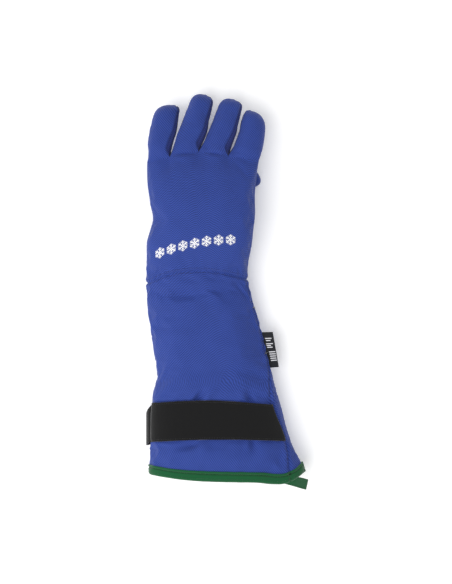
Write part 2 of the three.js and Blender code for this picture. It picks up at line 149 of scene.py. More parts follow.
# creases and puckers on the back: x, y, half sizes, turn in degrees, height
FOLDS = [
    (-37, -145, 5, 11, -35, -6.5), (-23, -140, 6, 11, -30, 2.4), (34, -147, 5, 7, 20, -5.5),
    (23, -142, 7, 9, 10, 2.0), (60, -152, 4, 6, 0, -3.2), (-52, -212, 15, 4.5, 12, -4.6),
    (38, -211, 5, 10, -10, -4.6), (-60, -222, 16, 7, 10, 1.4), (50, -222, 9, 9, 0, 1.3),
    (-14, -213, 12, 4, -5, -1.6), (4, -146, 14, 4, 4, -1.4),
    (-58, 191.5, 14, 2.2, 3, -2.6), (-58, 185.5, 15, 4, 3, 1.2), (-15, 191.5, 12, 2.2, -6, -2.2),
    (-15, 185.5, 14, 4, -6, 0.8), (-49, 235, 9, 2, 4, -0.8), (-92, 184, 10, 2.5, 20, -1.2),
    (24, 183, 12, 2.2, -25, -1.2), (22, 168, 16, 3, -50, -1.2), (-80, 34, 26, 3, 22, -0.9),
    (-60, -4, 30, 5, -14, -1.1), (0, -10, 26, 5, 12, -1.0), (-70, -60, 30, 7, 10, 1.1),
    (20, -80, 26, 8, -18, 1.1), (-30, -110, 34, 7, 8, -1.2),
]

# unevenness of the padding: waves per millimetre in x, y and z, and phase
RIPPLES = [(0.061, 0.083, 0.05, 0.3), (0.127, -0.049, 0.09, 1.9), (-0.033, 0.145, 0.04, 4.1),
           (0.171, 0.118, -0.07, 2.6), (0.205, -0.162, 0.11, 5.2)]
RIPPLE_DEPTH = 0.55

# grooves that the seams draw in: depth, width, and height of the swelling beside them
WRIST_GROOVE = (1.9, 1.5, 0.8)
SIDE_GROOVE = (1.5, 1.4, 0.6)
FINGER_GROOVE = (1.2, 1.1, 0.5)
GATHER_REACH = 7
STRAP_HOLLOW = 1.4

# colours
def linear(r, g, b):
    """An sRGB colour, 0 to 255, as the linear colour that a shader takes."""
    share = [c / 255 for c in (r, g, b)]
    return tuple(c / 12.92 if c <= 0.04045 else ((c + 0.055) / 1.055) ** 2.4 for c in share) + (1,)


BLUE = linear(41, 64, 142)
# the finger side strips are coloured darker than the shell: painted shade for the sides that face away from
# the key light
FOURCHETTE_SHADE_BLUE = linear(34, 46, 108)
GREEN = linear(18, 84, 46)
BLACK = linear(15, 15, 16)
LABEL_BLACK = linear(34, 36, 40)
PRINT_WHITE = linear(222, 222, 228)
FELT_GREY = linear(206, 203, 194)
LINING_CREAM = linear(222, 218, 206)
THREAD_BLUE = linear(22, 32, 84)
THREAD_GREEN = linear(8, 44, 24)
THREAD_BLACK = linear(34, 34, 36)


# ---------------------------------------------------------------- small helpers

def smoothstep(t):
    t = np.clip(t, 0, 1)
    return t * t * (3 - 2 * t)


def mix(a, b, t):
    return a + (b - a) * t


def along(points, at):
    """A smooth curve through (position, value) points, read at the positions at."""
    xs, ys = np.array(points, float).T
    slopes = np.gradient(ys, xs)
    at = np.clip(at, xs[0], xs[-1])
    i = np.clip(np.searchsorted(xs, at, side="right") - 1, 0, len(xs) - 2)
    h = xs[i + 1] - xs[i]
    t = (at - xs[i]) / h
    return ((2 * t ** 3 - 3 * t ** 2 + 1) * ys[i] + (t ** 3 - 2 * t ** 2 + t) * h * slopes[i]
            + (3 * t ** 2 - 2 * t ** 3) * ys[i + 1] + (t ** 3 - t ** 2) * h * slopes[i + 1])


def power(value, exponent):
    return np.sign(value) * np.abs(value) ** exponent


def unit(vectors):
    length = np.linalg.norm(vectors, axis=-1, keepdims=True)
    return vectors / np.maximum(length, 1e-9)


# ---------------------------------------------------------------- gauntlet and hand

def frame_at(y):
    """Centre and half size of the section at y: x centre, half width, z centre, half height."""
    left, right = along(LEFT_EDGE, y), along(RIGHT_EDGE, y)
    low, high = along(BOTTOM_HEIGHT, y), along(TOP_HEIGHT, y)
    return (left + right) / 2, (right - left) / 2, (low + high) / 2, (high - low) / 2


def angle_of(share, square):
    """The angle on a section at which x is that share of the half width."""
    return np.arccos(np.clip(power(share, square / 2), -1, 1))


def column_angles(y):
    """The angle of every column at its own y: from pi at the left edge to 0 at the right, and back."""
    column = np.arange(AROUND)
    over = column <= HALF
    k = np.where(over, column, AROUND - column)
    middle, half, _, _ = frame_at(y)
    square = np.where(over, TOP_SQUARE, UNDER_SQUARE)
    seam_share = np.clip((along(SIDE_SEAM, y) - middle) / half, 0, 0.985)
    even = math.pi * (1 - SEAM_COLUMN / HALF)
    seam = np.where(over, mix(angle_of(seam_share, square), even, smoothstep((y + 20) / 70)), even)
    plain = np.where(k <= SEAM_COLUMN, mix(math.pi, seam, k / SEAM_COLUMN),
                     mix(seam, 0, (k - SEAM_COLUMN) / (HALF - SEAM_COLUMN)))
    corners = [angle_of((x - middle) / half, square) for x in CROTCH_X]
    knots = np.stack([np.full(AROUND, math.pi), *corners, np.zeros(AROUND)])
    finger = np.minimum(k // PER_FINGER, 3)
    within = k / PER_FINGER - finger
    split = mix(knots[finger, np.arange(AROUND)], knots[finger + 1, np.arange(AROUND)], within)
    return mix(plain, split, smoothstep((y - 125) / 55))


def section_points(y, angles):
    """The points of one row: y and angle for each column."""
    middle, half, centre, depth = frame_at(y)
    column = np.arange(AROUND)
    over = column <= HALF
    square = np.where(over, TOP_SQUARE, UNDER_SQUARE)
    share = power(np.cos(angles), 2 / square)
    rise = np.abs(np.sin(angles)) ** (2 / square)
    z = centre + np.where(over, 1, -1) * depth * rise
    k = np.where(over, column, AROUND - column)
    valley = sum(np.exp(-((k - PER_FINGER * (i + 1)) / 2.3) ** 2) for i in range(3))
    z -= np.where(over, 3.2, -3.0) * valley * smoothstep((y - 156) / 30)
    return np.stack([middle + half * share, y, z], axis=-1)


def key_row(line, near, under=None):
    """The y of a seam or edge for every column. The palm side has its own line if under is given."""
    y = np.full(AROUND, float(near))
    over = np.arange(AROUND) <= HALF
    for _ in range(3):
        angles = column_angles(y)
        share = power(np.cos(angles), 2 / np.where(over, TOP_SQUARE, UNDER_SQUARE))
        y = np.where(over, along(line, share), along(under or line, share))
    return y


def body_grid():
    """Rows from the mouth to the knuckles, each round the whole glove."""
    mouth = key_row(MOUTH_EDGE, -258, MOUTH_UNDER)
    wrist = key_row(WRIST_SEAM, 25)
    knuckle = key_row(KNUCKLE_LINE, 188)
    rows = [mix(mouth, wrist, i / GAUNTLET_ROWS) for i in range(GAUNTLET_ROWS)]
    rows += [mix(wrist, knuckle, i / HAND_ROWS) for i in range(HAND_ROWS + 1)]
    return np.array([section_points(y, column_angles(y)) for y in rows])


# ---------------------------------------------------------------- fingers

def hinge_of(name):
    """Root point and directions of a finger, from its joint: along it, and to its right."""
    joint = next(j for j in frame["joints"] if j["child"] == name)
    root = np.array(joint["pos_m"]) / MM
    right = -np.array(joint["axis"], float)
    ahead = np.array([-right[1], right[0], 0])
    return root, ahead, right


def finger_angles(name, share=0.0):
    """The section angle of each column at a share of a finger, the back first, and where its arcs end."""
    strip = math.radians(mix(STRIP_AT_ROOT, STRIP_AT_TIP, share))
    tuck, under = math.radians(8), math.radians(40)
    if name == "index":
        knots = [math.pi, strip, -under, -math.pi]
        counts = [PER_FINGER, WEB_STEPS, PER_FINGER]
    elif name == "little":
        knots = [math.pi - tuck, 0, -math.pi + under, -math.pi - tuck]
        counts = [PER_FINGER, PER_FINGER, WEB_STEPS]
    else:
        knots = [math.pi - tuck, strip, -under, -math.pi + under, -math.pi - tuck]
        counts = [PER_FINGER, WEB_STEPS, PER_FINGER, WEB_STEPS]
    angles = [mix(knots[i], knots[i + 1], j / n) for i, n in enumerate(counts) for j in range(n)]
    return np.array(angles), np.cumsum([0, *counts])


def rounded(length, reach, ahead):
    """How much of its width a fingertip keeps at the distance ahead."""
    t = np.clip((ahead - (reach - length)) / length, 0, 1)
    return (1 - t ** TIP_SQUARE) ** (1 / TIP_SQUARE)


def finger_surface(name, ahead, angles):
    """Side offset and height of the points of a finger at a distance ahead of its root."""
    finger = FINGERS[name]
    root, forward, right = hinge_of(name)
    edges = []
    for side in ("left", "right"):
        points = np.array([(x, y, root[2]) for x, y in finger[side]]) - root
        edges.append(along(np.stack([points @ forward, points @ right], axis=-1), ahead))
    tip = finger["tip"]
    left = tip + (edges[0] - tip) * rounded(finger["round_left"], finger["reach"], ahead)
    right_edge = tip + (edges[1] - tip) * rounded(finger["round_right"], finger["reach"], ahead)
    depth = FINGER_DEPTH * rounded(TIP_DEPTH_ROUND, finger["reach"], ahead)
    share = ahead / finger["reach"]
    height = root[2] + 1 - ahead * FINGER_DROOP - FINGER_CURVE * np.clip(share, 0, 1) ** 2
    side = (left + right_edge) / 2 + (right_edge - left) / 2 * power(np.cos(angles), 2 / FINGER_SQUARE)
    return side, height + depth * power(np.sin(angles), 2 / FINGER_SQUARE)


def webs(knuckles):
    """The lines down between the fingers, from back to palm: WEB_STEPS + 1 points each."""
    lines = []
    for i in range(3):
        top = knuckles[PER_FINGER * (i + 1)]
        under = knuckles[AROUND - PER_FINGER * (i + 1)]
        t = np.linspace(0, 1, WEB_STEPS + 1)[:, None]
        line = mix(top, under, t)
        line[:, 1] -= 3 * np.sin(math.pi * t[:, 0])
        lines.append(line)
    return lines


def finger_base(name, knuckles, lines):
    """The row a finger grows from, in the order of finger_angles."""
    i = ORDER.index(name)
    back = [knuckles[PER_FINGER * i + j] for j in range(PER_FINGER)]
    start = AROUND - PER_FINGER * (i + 1)
    palm = [knuckles[(start + j) % AROUND] for j in range(PER_FINGER)]
    right_wall = list(lines[i][:WEB_STEPS]) if i < 3 else []
    left_wall = list(lines[i - 1][::-1][:WEB_STEPS]) if i > 0 else []
    return np.array(back + right_wall + palm + left_wall)


def finger_grid(name, knuckles, lines):
    """Rows from the knuckles to just short of the tip."""
    root, forward, right = hinge_of(name)
    base = finger_base(name, knuckles, lines)
    start, side, height = (base - root) @ forward, (base - root) @ right, base[:, 2]
    joined = start.max() + JOIN_LENGTH
    reach = FINGERS[name]["reach"]
    rows = [base]

    def place(ahead, offset, z):
        points = root + np.outer(ahead, forward) + np.outer(offset, right)
        points[:, 2] = z
        return points

    for j in range(1, JOIN_ROWS + 1):
        t = j / JOIN_ROWS
        ahead = mix(start, joined, t)
        angles, _ = finger_angles(name, t * joined / reach)
        free_side, free_height = finger_surface(name, ahead, angles)
        share = smoothstep(t)
        rows.append(place(ahead, mix(side, free_side, share), mix(height, free_height, share)))
    tip_start = reach - TIP_DEPTH_ROUND - 1
    steps = max(2, round((tip_start - joined) / ROW_STEP))
    distances = list(np.linspace(joined, tip_start, steps + 1)[1:])
    for turn in np.linspace(0, LAST_TURN, TIP_ROWS + 1)[1:]:
        distances.append(reach - (reach - tip_start) * (1 - math.sin(turn)))
    for distance in distances:
        angles, _ = finger_angles(name, distance / reach)
        ahead = np.full(len(angles), distance)
        rows.append(place(ahead, *finger_surface(name, ahead, angles)))
    return np.array(rows)


# ---------------------------------------------------------------- grids, finer grids and panels

def between(grid, axis, closed):
    """Doubles a grid along an axis with points on a smooth curve through the old ones."""
    g = np.moveaxis(grid, axis, 0)
    if closed:
        before, after, beyond = np.roll(g, 1, 0), np.roll(g, -1, 0), np.roll(g, -2, 0)
        new = (9 * (g + after) - before - beyond) / 16
        fine = np.stack([g, new], axis=1).reshape(-1, *g.shape[1:])
    else:
        new = (g[:-1] + g[1:]) / 2
        new[1:-1] = (9 * (g[1:-2] + g[2:-1]) - g[:-3] - g[3:]) / 16
        fine = np.empty((2 * len(g) - 1, *g.shape[1:]))
        fine[::2], fine[1::2] = g, new
    return np.moveaxis(fine, 0, axis)


def finer(grid, straight_rows):
    """Doubles a closed grid both ways; rows shared with another grid get straight midpoints."""
    wide = between(grid, 1, True)
    for row in straight_rows:
        wide[row, 1::2] = (grid[row] + np.roll(grid[row], -1, 0)) / 2
    return between(wide, 0, False)


def weld(points):
    """The index of the first point at each place, for every point."""
    _, first, back = np.unique(np.round(points, 4), axis=0, return_index=True, return_inverse=True)
    return first, back.reshape(-1)


def grid_faces(rows, columns, offset=0, closed=False):
    """Quads of a grid of points, facing out on a grid that runs round and then along."""
    span = columns if closed else columns - 1
    i, j = np.meshgrid(np.arange(rows - 1), np.arange(span), indexing="ij")
    a = i * columns + j
    b = i * columns + (j + 1) % columns
    quads = np.stack([a, b, b + columns, a + columns], axis=-1).reshape(-1, 4)
    return quads + offset


def vertex_normals(points, faces):
    """Smooth normals with points at one place taken together. Faces may be quads with a repeat."""
    corners = points[faces]
    face_normal = np.cross(corners[:, 2] - corners[:, 0], corners[:, 3] - corners[:, 1])
    _, back = weld(points)
    total = np.zeros((back.max() + 1, 3))
    for c in range(4):
        np.add.at(total, back[faces[:, c]], face_normal)
    return unit(total[back])


class Grid:
    """A closed tube of points, in rows from one end to the other, and a cap point if it is a finger."""

    def __init__(self, points, capped):
        self.points = points
        self.capped = capped

    @property
    def flat(self):
        points = self.points.reshape(-1, 3)
        if self.capped:
            return np.vstack([points, self.points[-1].mean(0)])
        return points

    def faces(self, offset=0):
        rows, columns = self.points.shape[:2]
        quads = grid_faces(rows, columns, offset, closed=True)
        if not self.capped:
            return quads
        ring = (rows - 1) * columns + np.arange(columns) + offset
        centre = np.full(columns, rows * columns + offset)
        return np.vstack([quads, np.stack([ring, np.roll(ring, -1), centre, centre], axis=-1)])


def all_normals(grids):
    """The smooth outward normals of all grids together, one array for each grid."""
    points, faces, offset = [], [], 0
    for grid in grids.values():
        points.append(grid.flat)
        faces.append(grid.faces(offset))
        offset += len(points[-1])
    normals = vertex_normals(np.vstack(points), np.vstack(faces))
    found, offset = {}, 0
    for name, grid in grids.items():
        rows, columns = grid.points.shape[:2]
        found[name] = normals[offset:offset + rows * columns].reshape(rows, columns, 3)
        offset += len(grid.flat)
    return found


# ---------------------------------------------------------------- the weave's own coordinates

def weave_coordinates(grids):
    """Millimetres along and round the cloth at every point, running on from the hand into the fingers."""
    found = {}
    for name, grid in grids.items():
        points = grid.points
        steps = np.linalg.norm(points - np.roll(points, 1, 1), axis=-1)
        steps[:, 0] = 0
        round_ = np.cumsum(steps, axis=1)
        ahead = np.concatenate([np.zeros((1, points.shape[1])),
                                np.cumsum(np.linalg.norm(np.diff(points, axis=0), axis=-1), axis=0)])
        if name == "body":
            middle = points.shape[1] // 4
            round_ = round_ - round_[:, middle:middle + 1]
        else:
            i = ORDER.index(name)
            fine = points.shape[1] // len(finger_angles(name)[0])
            middle = PER_FINGER * fine // 2
            body = found["body"][-1, i * PER_FINGER * fine + middle]
            round_ = round_ - round_[:, middle:middle + 1] + body[0]
            ahead = ahead + body[1]
        found[name] = np.stack([round_, ahead], axis=-1)
    return found


# ---------------------------------------------------------------- meshes

def without_repeats(face):
    return [v for i, v in enumerate(face) if v != face[i - 1]]


def add_mesh(name, points, faces, attributes=None, smooth=True):
    """A mesh object in metres from points in millimetres. Repeated corners of a face are dropped."""
    mesh = bpy.data.meshes.new(name)
    lists = [without_repeats(face) for face in np.asarray(faces).tolist()]
    mesh.from_pydata((np.asarray(points) * MM).tolist(), [], lists)
    for key, values in (attributes or {}).items():
        layer = mesh.attributes.new(key, "FLOAT_VECTOR", "POINT")
        layer.data.foreach_set("vector", np.asarray(values, np.float32).ravel())
    mesh.polygons.foreach_set("use_smooth", [smooth] * len(mesh.polygons))
    obj = bpy.data.objects.new(name, mesh)
    bpy.context.scene.collection.objects.link(obj)
    return obj


def dress(obj, material, slot, *nodes):
    """Gives a piece its material and hides the CAD nodes it stands for. The slot is not used."""
    obj.data.materials.clear()
    obj.data.materials.append(material)
    if nodes:
        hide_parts(*nodes)
    return obj


def boundary_edges(faces):
    """The directed edges that only one face has, on the given point numbers."""
    seen = {}
    for face in faces.tolist():
        kept = without_repeats(face)
        for a, b in zip(kept, kept[1:] + kept[:1]):
            seen[(a, b)] = True
    return [edge for edge in seen if (edge[1], edge[0]) not in seen]


def two_sided(faces, count):
    """The faces of an upper side, of a lower side whose points follow it, and of the rim between."""
    rim = [[b, a, a + count, b + count] for a, b in boundary_edges(faces)]
    rim = np.array(rim, int).reshape(-1, 4)
    return np.vstack([faces, faces[:, ::-1] + count, rim]), len(rim)


def thick_sheet(name, points, faces, normals, outer, inner, attributes=None):
    """A closed sheet between two distances inwards from the points, with square edges."""
    used, faces = np.unique(faces, return_inverse=True)
    points, normals = points[used], normals[used]
    all_faces, rim_count = two_sided(faces.reshape(-1, 4), len(points))
    carried = {key: np.concatenate([value[used], value[used]])
               for key, value in (attributes or {}).items()}
    both_sides = np.vstack([points - normals * outer, points - normals * inner])
    obj = add_mesh(name, both_sides, all_faces, carried)
    mesh = obj.data
    vertex_of_loop = np.empty(len(mesh.loops), int)
    mesh.loops.foreach_get("vertex_index", vertex_of_loop)
    custom = np.concatenate([normals, -normals])[vertex_of_loop]
    for polygon in mesh.polygons[len(mesh.polygons) - rim_count:]:
        custom[polygon.loop_start:polygon.loop_start + polygon.loop_total] = polygon.normal
    mesh.normals_split_custom_set(custom.tolist())
    return obj


def follow_wrist(obj):
    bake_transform(obj)


def follow_finger(obj, name):
    """Bakes a piece's transform into its mesh."""
    root, forward, _ = hinge_of(name)
    base = bases[name]
    start = ((base - root) @ forward).max() + 0.5
    points = [(root + forward * (start + d)) * MM for d in (0, 24)]
    tuple(points[0])
    tuple(points[1])
    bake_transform(obj)


# ---------------------------------------------------------------- the padding swells, the seams hold

def pin_weights(grids):
    """1 where a seam, the hem or the strap holds the cloth still, 0 where it is free."""
    found = {}
    for name, grid in grids.items():
        pins = np.zeros(grid.points.shape[:2])
        if name == "body":
            height = grid.points[..., 1]
            over = np.arange(AROUND) <= HALF
            pins[:2] = 1
            pins[GAUNTLET_ROWS] = 1
            pins[:GAUNTLET_ROWS, SEAM_COLUMN] = 1
            pins[GAUNTLET_ROWS:, [0, HALF]] = 1
            under_strap = (height < STRAP_TOP_Y + 2) & (height > STRAP_BOTTOM_Y - 2)
            pins[under_strap & over] = 0.8
            pins[:, ~over] = np.maximum(pins[:, ~over], 0.4)
            pins[-1, [PER_FINGER * i for i in (1, 2, 3)]] = 1
        else:
            _, ends = finger_angles(name)
            for end in ends[:-1]:
                pins[:, end] = 1
            pins[-3:] = 1
        flat = pins.reshape(-1)
        found[name] = np.append(flat, 1.0) if grid.capped else flat
    return found


def puff(grids):
    """Cloth simulation of the whole shell under pressure, with a cap on how far a point moves."""
    points = np.vstack([grid.flat for grid in grids.values()])
    offsets = np.cumsum([0] + [len(grid.flat) for grid in grids.values()])
    faces = np.vstack([grid.faces(start) for grid, start in zip(grids.values(), offsets)])
    first, back = weld(points)
    pins = pin_weights(grids)
    weights = np.concatenate([pins[name] for name in grids])
    held = np.zeros(len(first))
    np.maximum.at(held, back, weights)
    obj = add_mesh("shell_simulation", points[first], back[faces])
    group = obj.vertex_groups.new(name="held")
    for i in np.flatnonzero(held):
        group.add([int(i)], float(held[i]), "REPLACE")
    cloth = obj.modifiers.new("cloth", "CLOTH")
    cloth.settings.quality = 6
    cloth.settings.mass = 0.25
    cloth.settings.tension_stiffness = 25
    cloth.settings.compression_stiffness = 25
    cloth.settings.shear_stiffness = 8
    cloth.settings.bending_stiffness = 1.0
    cloth.settings.use_pressure = True
    cloth.settings.uniform_pressure_force = 4
    cloth.settings.shrink_min = CLOTH_SPARE
    cloth.settings.effector_weights.gravity = 0
    cloth.settings.vertex_group_mass = "held"
    cloth.collision_settings.use_collision = False
    scene = bpy.context.scene
    for step in range(1, CLOTH_FRAMES + 1):
        scene.frame_set(step)
    evaluated = obj.evaluated_get(bpy.context.evaluated_depsgraph_get())
    moved = np.empty(len(evaluated.data.vertices) * 3)
    evaluated.data.vertices.foreach_get("co", moved)
    step = moved.reshape(-1, 3) / MM - points[first]
    length = np.linalg.norm(step, axis=1, keepdims=True)
    step *= np.minimum(1, CLOTH_CAP / np.maximum(length, 1e-9))
    scene.frame_set(1)
    bpy.data.objects.remove(obj)
    step = step[back]
    for grid, start in zip(grids.values(), offsets):
        rows, columns = grid.points.shape[:2]
        own = step[start:start + rows * columns].reshape(rows, columns, 3)
        body_share = 1 - (1 - FINGER_SHARE) * smoothstep((grid.points[..., 1:2] - 130) / 45)
        own = own * (FINGER_SHARE if grid.capped else body_share)
        own[..., 2] = np.maximum(own[..., 2], 0.3 - grid.points[..., 2])
        grid.points += own
    row = grids["body"].points[-1]
    for name in ORDER:     # a finger's first row stays on the hand and the webs that it grows from
        grids[name].points[0] = finger_base(name, row, webs(row))


# ---------------------------------------------------------------- seams, creases and puckers

def ripple(points):
    """Broad, soft unevenness of the padding, from -1 to 1, the same at the same place."""
    x, y, z = points[..., 0], points[..., 1], points[..., 2]
    return sum(np.sin(a * x + b * y + c * z + phase) for a, b, c, phase in RIPPLES) / len(RIPPLES)


def pucker(distance_along, one, other, phase):
    """Uneven gathers along a seam, two waves on top of each other."""
    return np.sin(distance_along * one) + np.sin(distance_along * other + phase)


def groove(distance, depth, width, lip):
    """A stitched seam in padding: a narrow valley with a soft swelling on both sides."""
    near = np.exp(-(distance / width) ** 2)
    swell = np.exp(-((np.abs(distance) - 3.2 * width) / (2 * width)) ** 2)
    return lip * swell - depth * near


def dent(points, x, y, half_x, half_y, lean=0.0):
    """1 at a place on the back of the glove, falling away over half_x and half_y, turned by lean."""
    dx, dy = points[..., 0] - x, points[..., 1] - y
    c, s = math.cos(lean), math.sin(lean)
    return np.exp(-((dx * c + dy * s) / half_x) ** 2 - ((dy * c - dx * s) / half_y) ** 2)


def surface_folds(points, surface_normals):
    """Creases and puckers of the back, outwards in millimetres."""
    over = smoothstep(surface_normals[..., 2] * 2)
    depth = RIPPLE_DEPTH * ripple(points)
    for x, y, half_x, half_y, lean, height in FOLDS:
        depth += over * height * dent(points, x, y, half_x, half_y, math.radians(lean))
    return depth


def shape_details(grids, coordinates, surface_normals):
    """Adds to every grid its creases, its sewn grooves and the hollow under the strap."""
    for name, grid in grids.items():
        points, own = grid.points, coordinates[name]
        depth = surface_folds(points, surface_normals[name])
        if name == "body":
            wrist = points[2 * GAUNTLET_ROWS, :, 1]
            from_wrist = points[..., 1] - wrist
            depth += groove(from_wrist, *WRIST_GROOVE)
            wave = pucker(own[..., 0], 0.62, 0.37, 1)
            depth += 0.22 * wave * np.exp(-(from_wrist / GATHER_REACH) ** 2)
            from_seam = own[..., 0] - own[:, 2 * SEAM_COLUMN, 0][:, None]
            lower = smoothstep((wrist - 2 - points[..., 1]) / 4)
            depth += lower * groove(from_seam, *SIDE_GROOVE)
            wave = pucker(own[..., 1], 0.55, 0.31, 2)
            depth += 0.25 * lower * wave * np.exp(-(from_seam / GATHER_REACH) ** 2)
            over = surface_normals[name][..., 2] > 0
            below_top = smoothstep((STRAP_TOP_Y + 5 - points[..., 1]) / 6)
            above_bottom = smoothstep((points[..., 1] - STRAP_BOTTOM_Y + 5) / 6)
            depth -= np.where(over, STRAP_HOLLOW, 0) * below_top * above_bottom
        else:
            _, ends = finger_angles(name)
            away = smoothstep((own[..., 1] - own[:1, :, 1] - 1) / 9)
            for end in ends[:-1]:
                from_seam = own[..., 0] - own[:, 2 * end, 0][:, None]
                depth += away * groove(from_seam, *FINGER_GROOVE)
        grid.points = points + surface_normals[name] * depth[..., None]


# ---------------------------------------------------------------- build the shell's grids

coarse = {"body": Grid(body_grid(), capped=False)}
knuckles = coarse["body"].points[-1]
web_lines = webs(knuckles)
bases = {}
for finger_name in ORDER:
    coarse[finger_name] = Grid(finger_grid(finger_name, knuckles, web_lines), capped=True)
    bases[finger_name] = coarse[finger_name].points[0].copy()

puff(coarse)

fine = {}
for grid_name, grid in coarse.items():
    last = len(grid.points) - 1
    fine[grid_name] = Grid(finer(grid.points, [last] if grid_name == "body" else [0]), grid.capped)

weave = weave_coordinates(fine)
smooth_body = fine["body"].points.copy()
smooth_normals = all_normals(fine)["body"]
shape_details(fine, weave, all_normals(fine))
normals = all_normals(fine)


# ---------------------------------------------------------------- materials

def set_inputs(tree, node, inputs):
    """Sets inputs of a node. One that is given the output of another node is linked to it."""
    for key, value in inputs.items():
        if isinstance(value, bpy.types.NodeSocket):
            tree.links.new(value, node.inputs[key])
        else:
            node.inputs[key].default_value = value


def add_node(tree, kind, inputs, **settings):
    node = tree.nodes.new(kind)
    for key, value in settings.items():
        setattr(node, key, value)
    set_inputs(tree, node, inputs)
    return node


def calculator(tree):
    """A function that adds one math node and gives its output."""
    def op(operation, *values):
        return add_node(tree, "ShaderNodeMath", dict(enumerate(values)), operation=operation).outputs[0]
    return op


def multiplied(tree, colour, tone):
    mixer = add_node(tree, "ShaderNodeMix", {}, data_type="RGBA", blend_type="MULTIPLY")
    set_inputs(tree, mixer, {"Factor": 1, "A": colour, "B": tone})
    return mixer.outputs["Result"]


def bumped(tree, height, strength, depth):
    bump = add_node(tree, "ShaderNodeBump",
                    {"Strength": strength, "Distance": depth * MM, "Height": height})
    return bump.outputs["Normal"]


def cloth_coordinates(tree, attribute):
    """The output with the place on the cloth, and its first two numbers."""
    place = add_node(tree, "ShaderNodeAttribute", {}, attribute_name=attribute).outputs["Vector"]
    parts = add_node(tree, "ShaderNodeSeparateXYZ", {0: place})
    return place, parts.outputs[0], parts.outputs[1]


def new_material(name):
    material = bpy.data.materials.new(name)
    material.use_nodes = True
    tree = material.node_tree
    return material, tree, tree.nodes["Principled BSDF"]


CRYSTAL_REACH = 7.2
CRYSTAL_ARM = 1.05                  # half the width of an arm
BARB_AT = 3.4                       # from the middle to where a barb leaves its arm
BARB_HALF_WIDTH = 0.75
BARB_REACH = 2.5


def print_mask(tree):
    """1 on the printed crystals, 0 elsewhere, from the print coordinates of the cloth."""
    _, run, q = cloth_coordinates(tree, "print")
    op = calculator(tree)
    cell = op("DIVIDE", run, PRINT_PITCH)
    p = op("MULTIPLY", op("SUBTRACT", op("FRACT", cell), 0.5), PRINT_PITCH)
    reach = op("SQRT", op("ADD", op("MULTIPLY", p, p), op("MULTIPLY", q, q)))
    marks = []
    for turn in (30, 90, 150):
        c, s = math.cos(math.radians(turn)), math.sin(math.radians(turn))
        off = op("ABSOLUTE", op("SUBTRACT", op("MULTIPLY", q, c), op("MULTIPLY", p, s)))
        out = op("ABSOLUTE", op("ADD", op("MULTIPLY", p, c), op("MULTIPLY", q, s)))
        rise = op("ABSOLUTE", op("SUBTRACT", op("SUBTRACT", out, off), BARB_AT))
        barb = op("LESS_THAN", rise, BARB_HALF_WIDTH)
        marks.append(op("LESS_THAN", off, CRYSTAL_ARM))
        marks.append(op("MULTIPLY", barb, op("LESS_THAN", off, BARB_REACH)))
    shape = marks[0]
    for mark in marks[1:]:
        shape = op("MAXIMUM", shape, mark)
    shape = op("MULTIPLY", shape, op("LESS_THAN", reach, CRYSTAL_REACH))
    inside = op("MULTIPLY", op("GREATER_THAN", cell, 0), op("LESS_THAN", cell, PRINT_COUNT))
    return op("MULTIPLY", shape, inside)


WEAVE_PITCH = 3.1
WEAVE_CONTRAST = 1.3
YARN_SCALE = 1.6                    # of the noise in single yarns
FADE_SCALE = 0.035                  # of the broad change of colour


def woven(name, colour, depth, printed=False):
    """A woven cloth: raised dots on a slanted grid, yarn noise, broad colour change."""
    material, tree, shader = new_material(name)
    place, x, y = cloth_coordinates(tree, "weave")
    op = calculator(tree)
    turn = 2 * math.pi / WEAVE_PITCH
    dots = op("MULTIPLY", op("SINE", op("MULTIPLY", x, turn)), op("SINE", op("MULTIPLY", y, turn)))
    height = op("ADD", op("MULTIPLY", dots, 0.5), 0.5)
    yarn, broad = (add_node(tree, "ShaderNodeTexNoise",
                            {"Vector": place, "Scale": scale, "Detail": detail}).outputs["Fac"]
                   for scale, detail in ((YARN_SCALE, 4), (FADE_SCALE, 3)))
    tone = op("ADD", op("MULTIPLY", height, WEAVE_CONTRAST), 1 - WEAVE_CONTRAST / 2)
    tone = op("MULTIPLY", tone, op("ADD", op("MULTIPLY", yarn, 0.22), 0.89))
    tone = op("MULTIPLY", tone, op("ADD", op("MULTIPLY", broad, 0.2), 0.9))
    if printed:
        ink = add_node(tree, "ShaderNodeMix", {}, data_type="RGBA")
        set_inputs(tree, ink, {"Factor": print_mask(tree), "A": colour, "B": PRINT_WHITE})
        colour = ink.outputs["Result"]
    surface = op("ADD", height, op("MULTIPLY", yarn, 0.5))
    set_inputs(tree, shader, {
        "Base Color": multiplied(tree, colour, tone),
        "Roughness": op("ADD", op("MULTIPLY", yarn, 0.2), 0.6),
        "Normal": bumped(tree, surface, 0.7, depth),
        "Sheen Weight": 0.12,
        "Sheen Roughness": 0.5,
        "Specular IOR Level": 0.25,
    })
    return material


def felted(name, colour, scale=900):
    """A matted cloth without a weave: felt, fleece or the pile of a hook-and-loop tape."""
    material, tree, shader = new_material(name)
    op = calculator(tree)
    place = add_node(tree, "ShaderNodeTexCoord", {}).outputs["Object"]
    fibre = add_node(tree, "ShaderNodeTexNoise",
                     {"Vector": place, "Scale": scale, "Detail": 5, "Roughness": 0.7}).outputs["Fac"]
    tone = op("ADD", op("MULTIPLY", fibre, 0.5), 0.75)
    set_inputs(tree, shader, {
        "Base Color": multiplied(tree, colour, tone),
        "Roughness": 0.9,
        "Normal": bumped(tree, fibre, 0.8, 0.4),
        "Sheen Weight": 0.3,
        "Specular IOR Level": 0.15,
    })
    return material


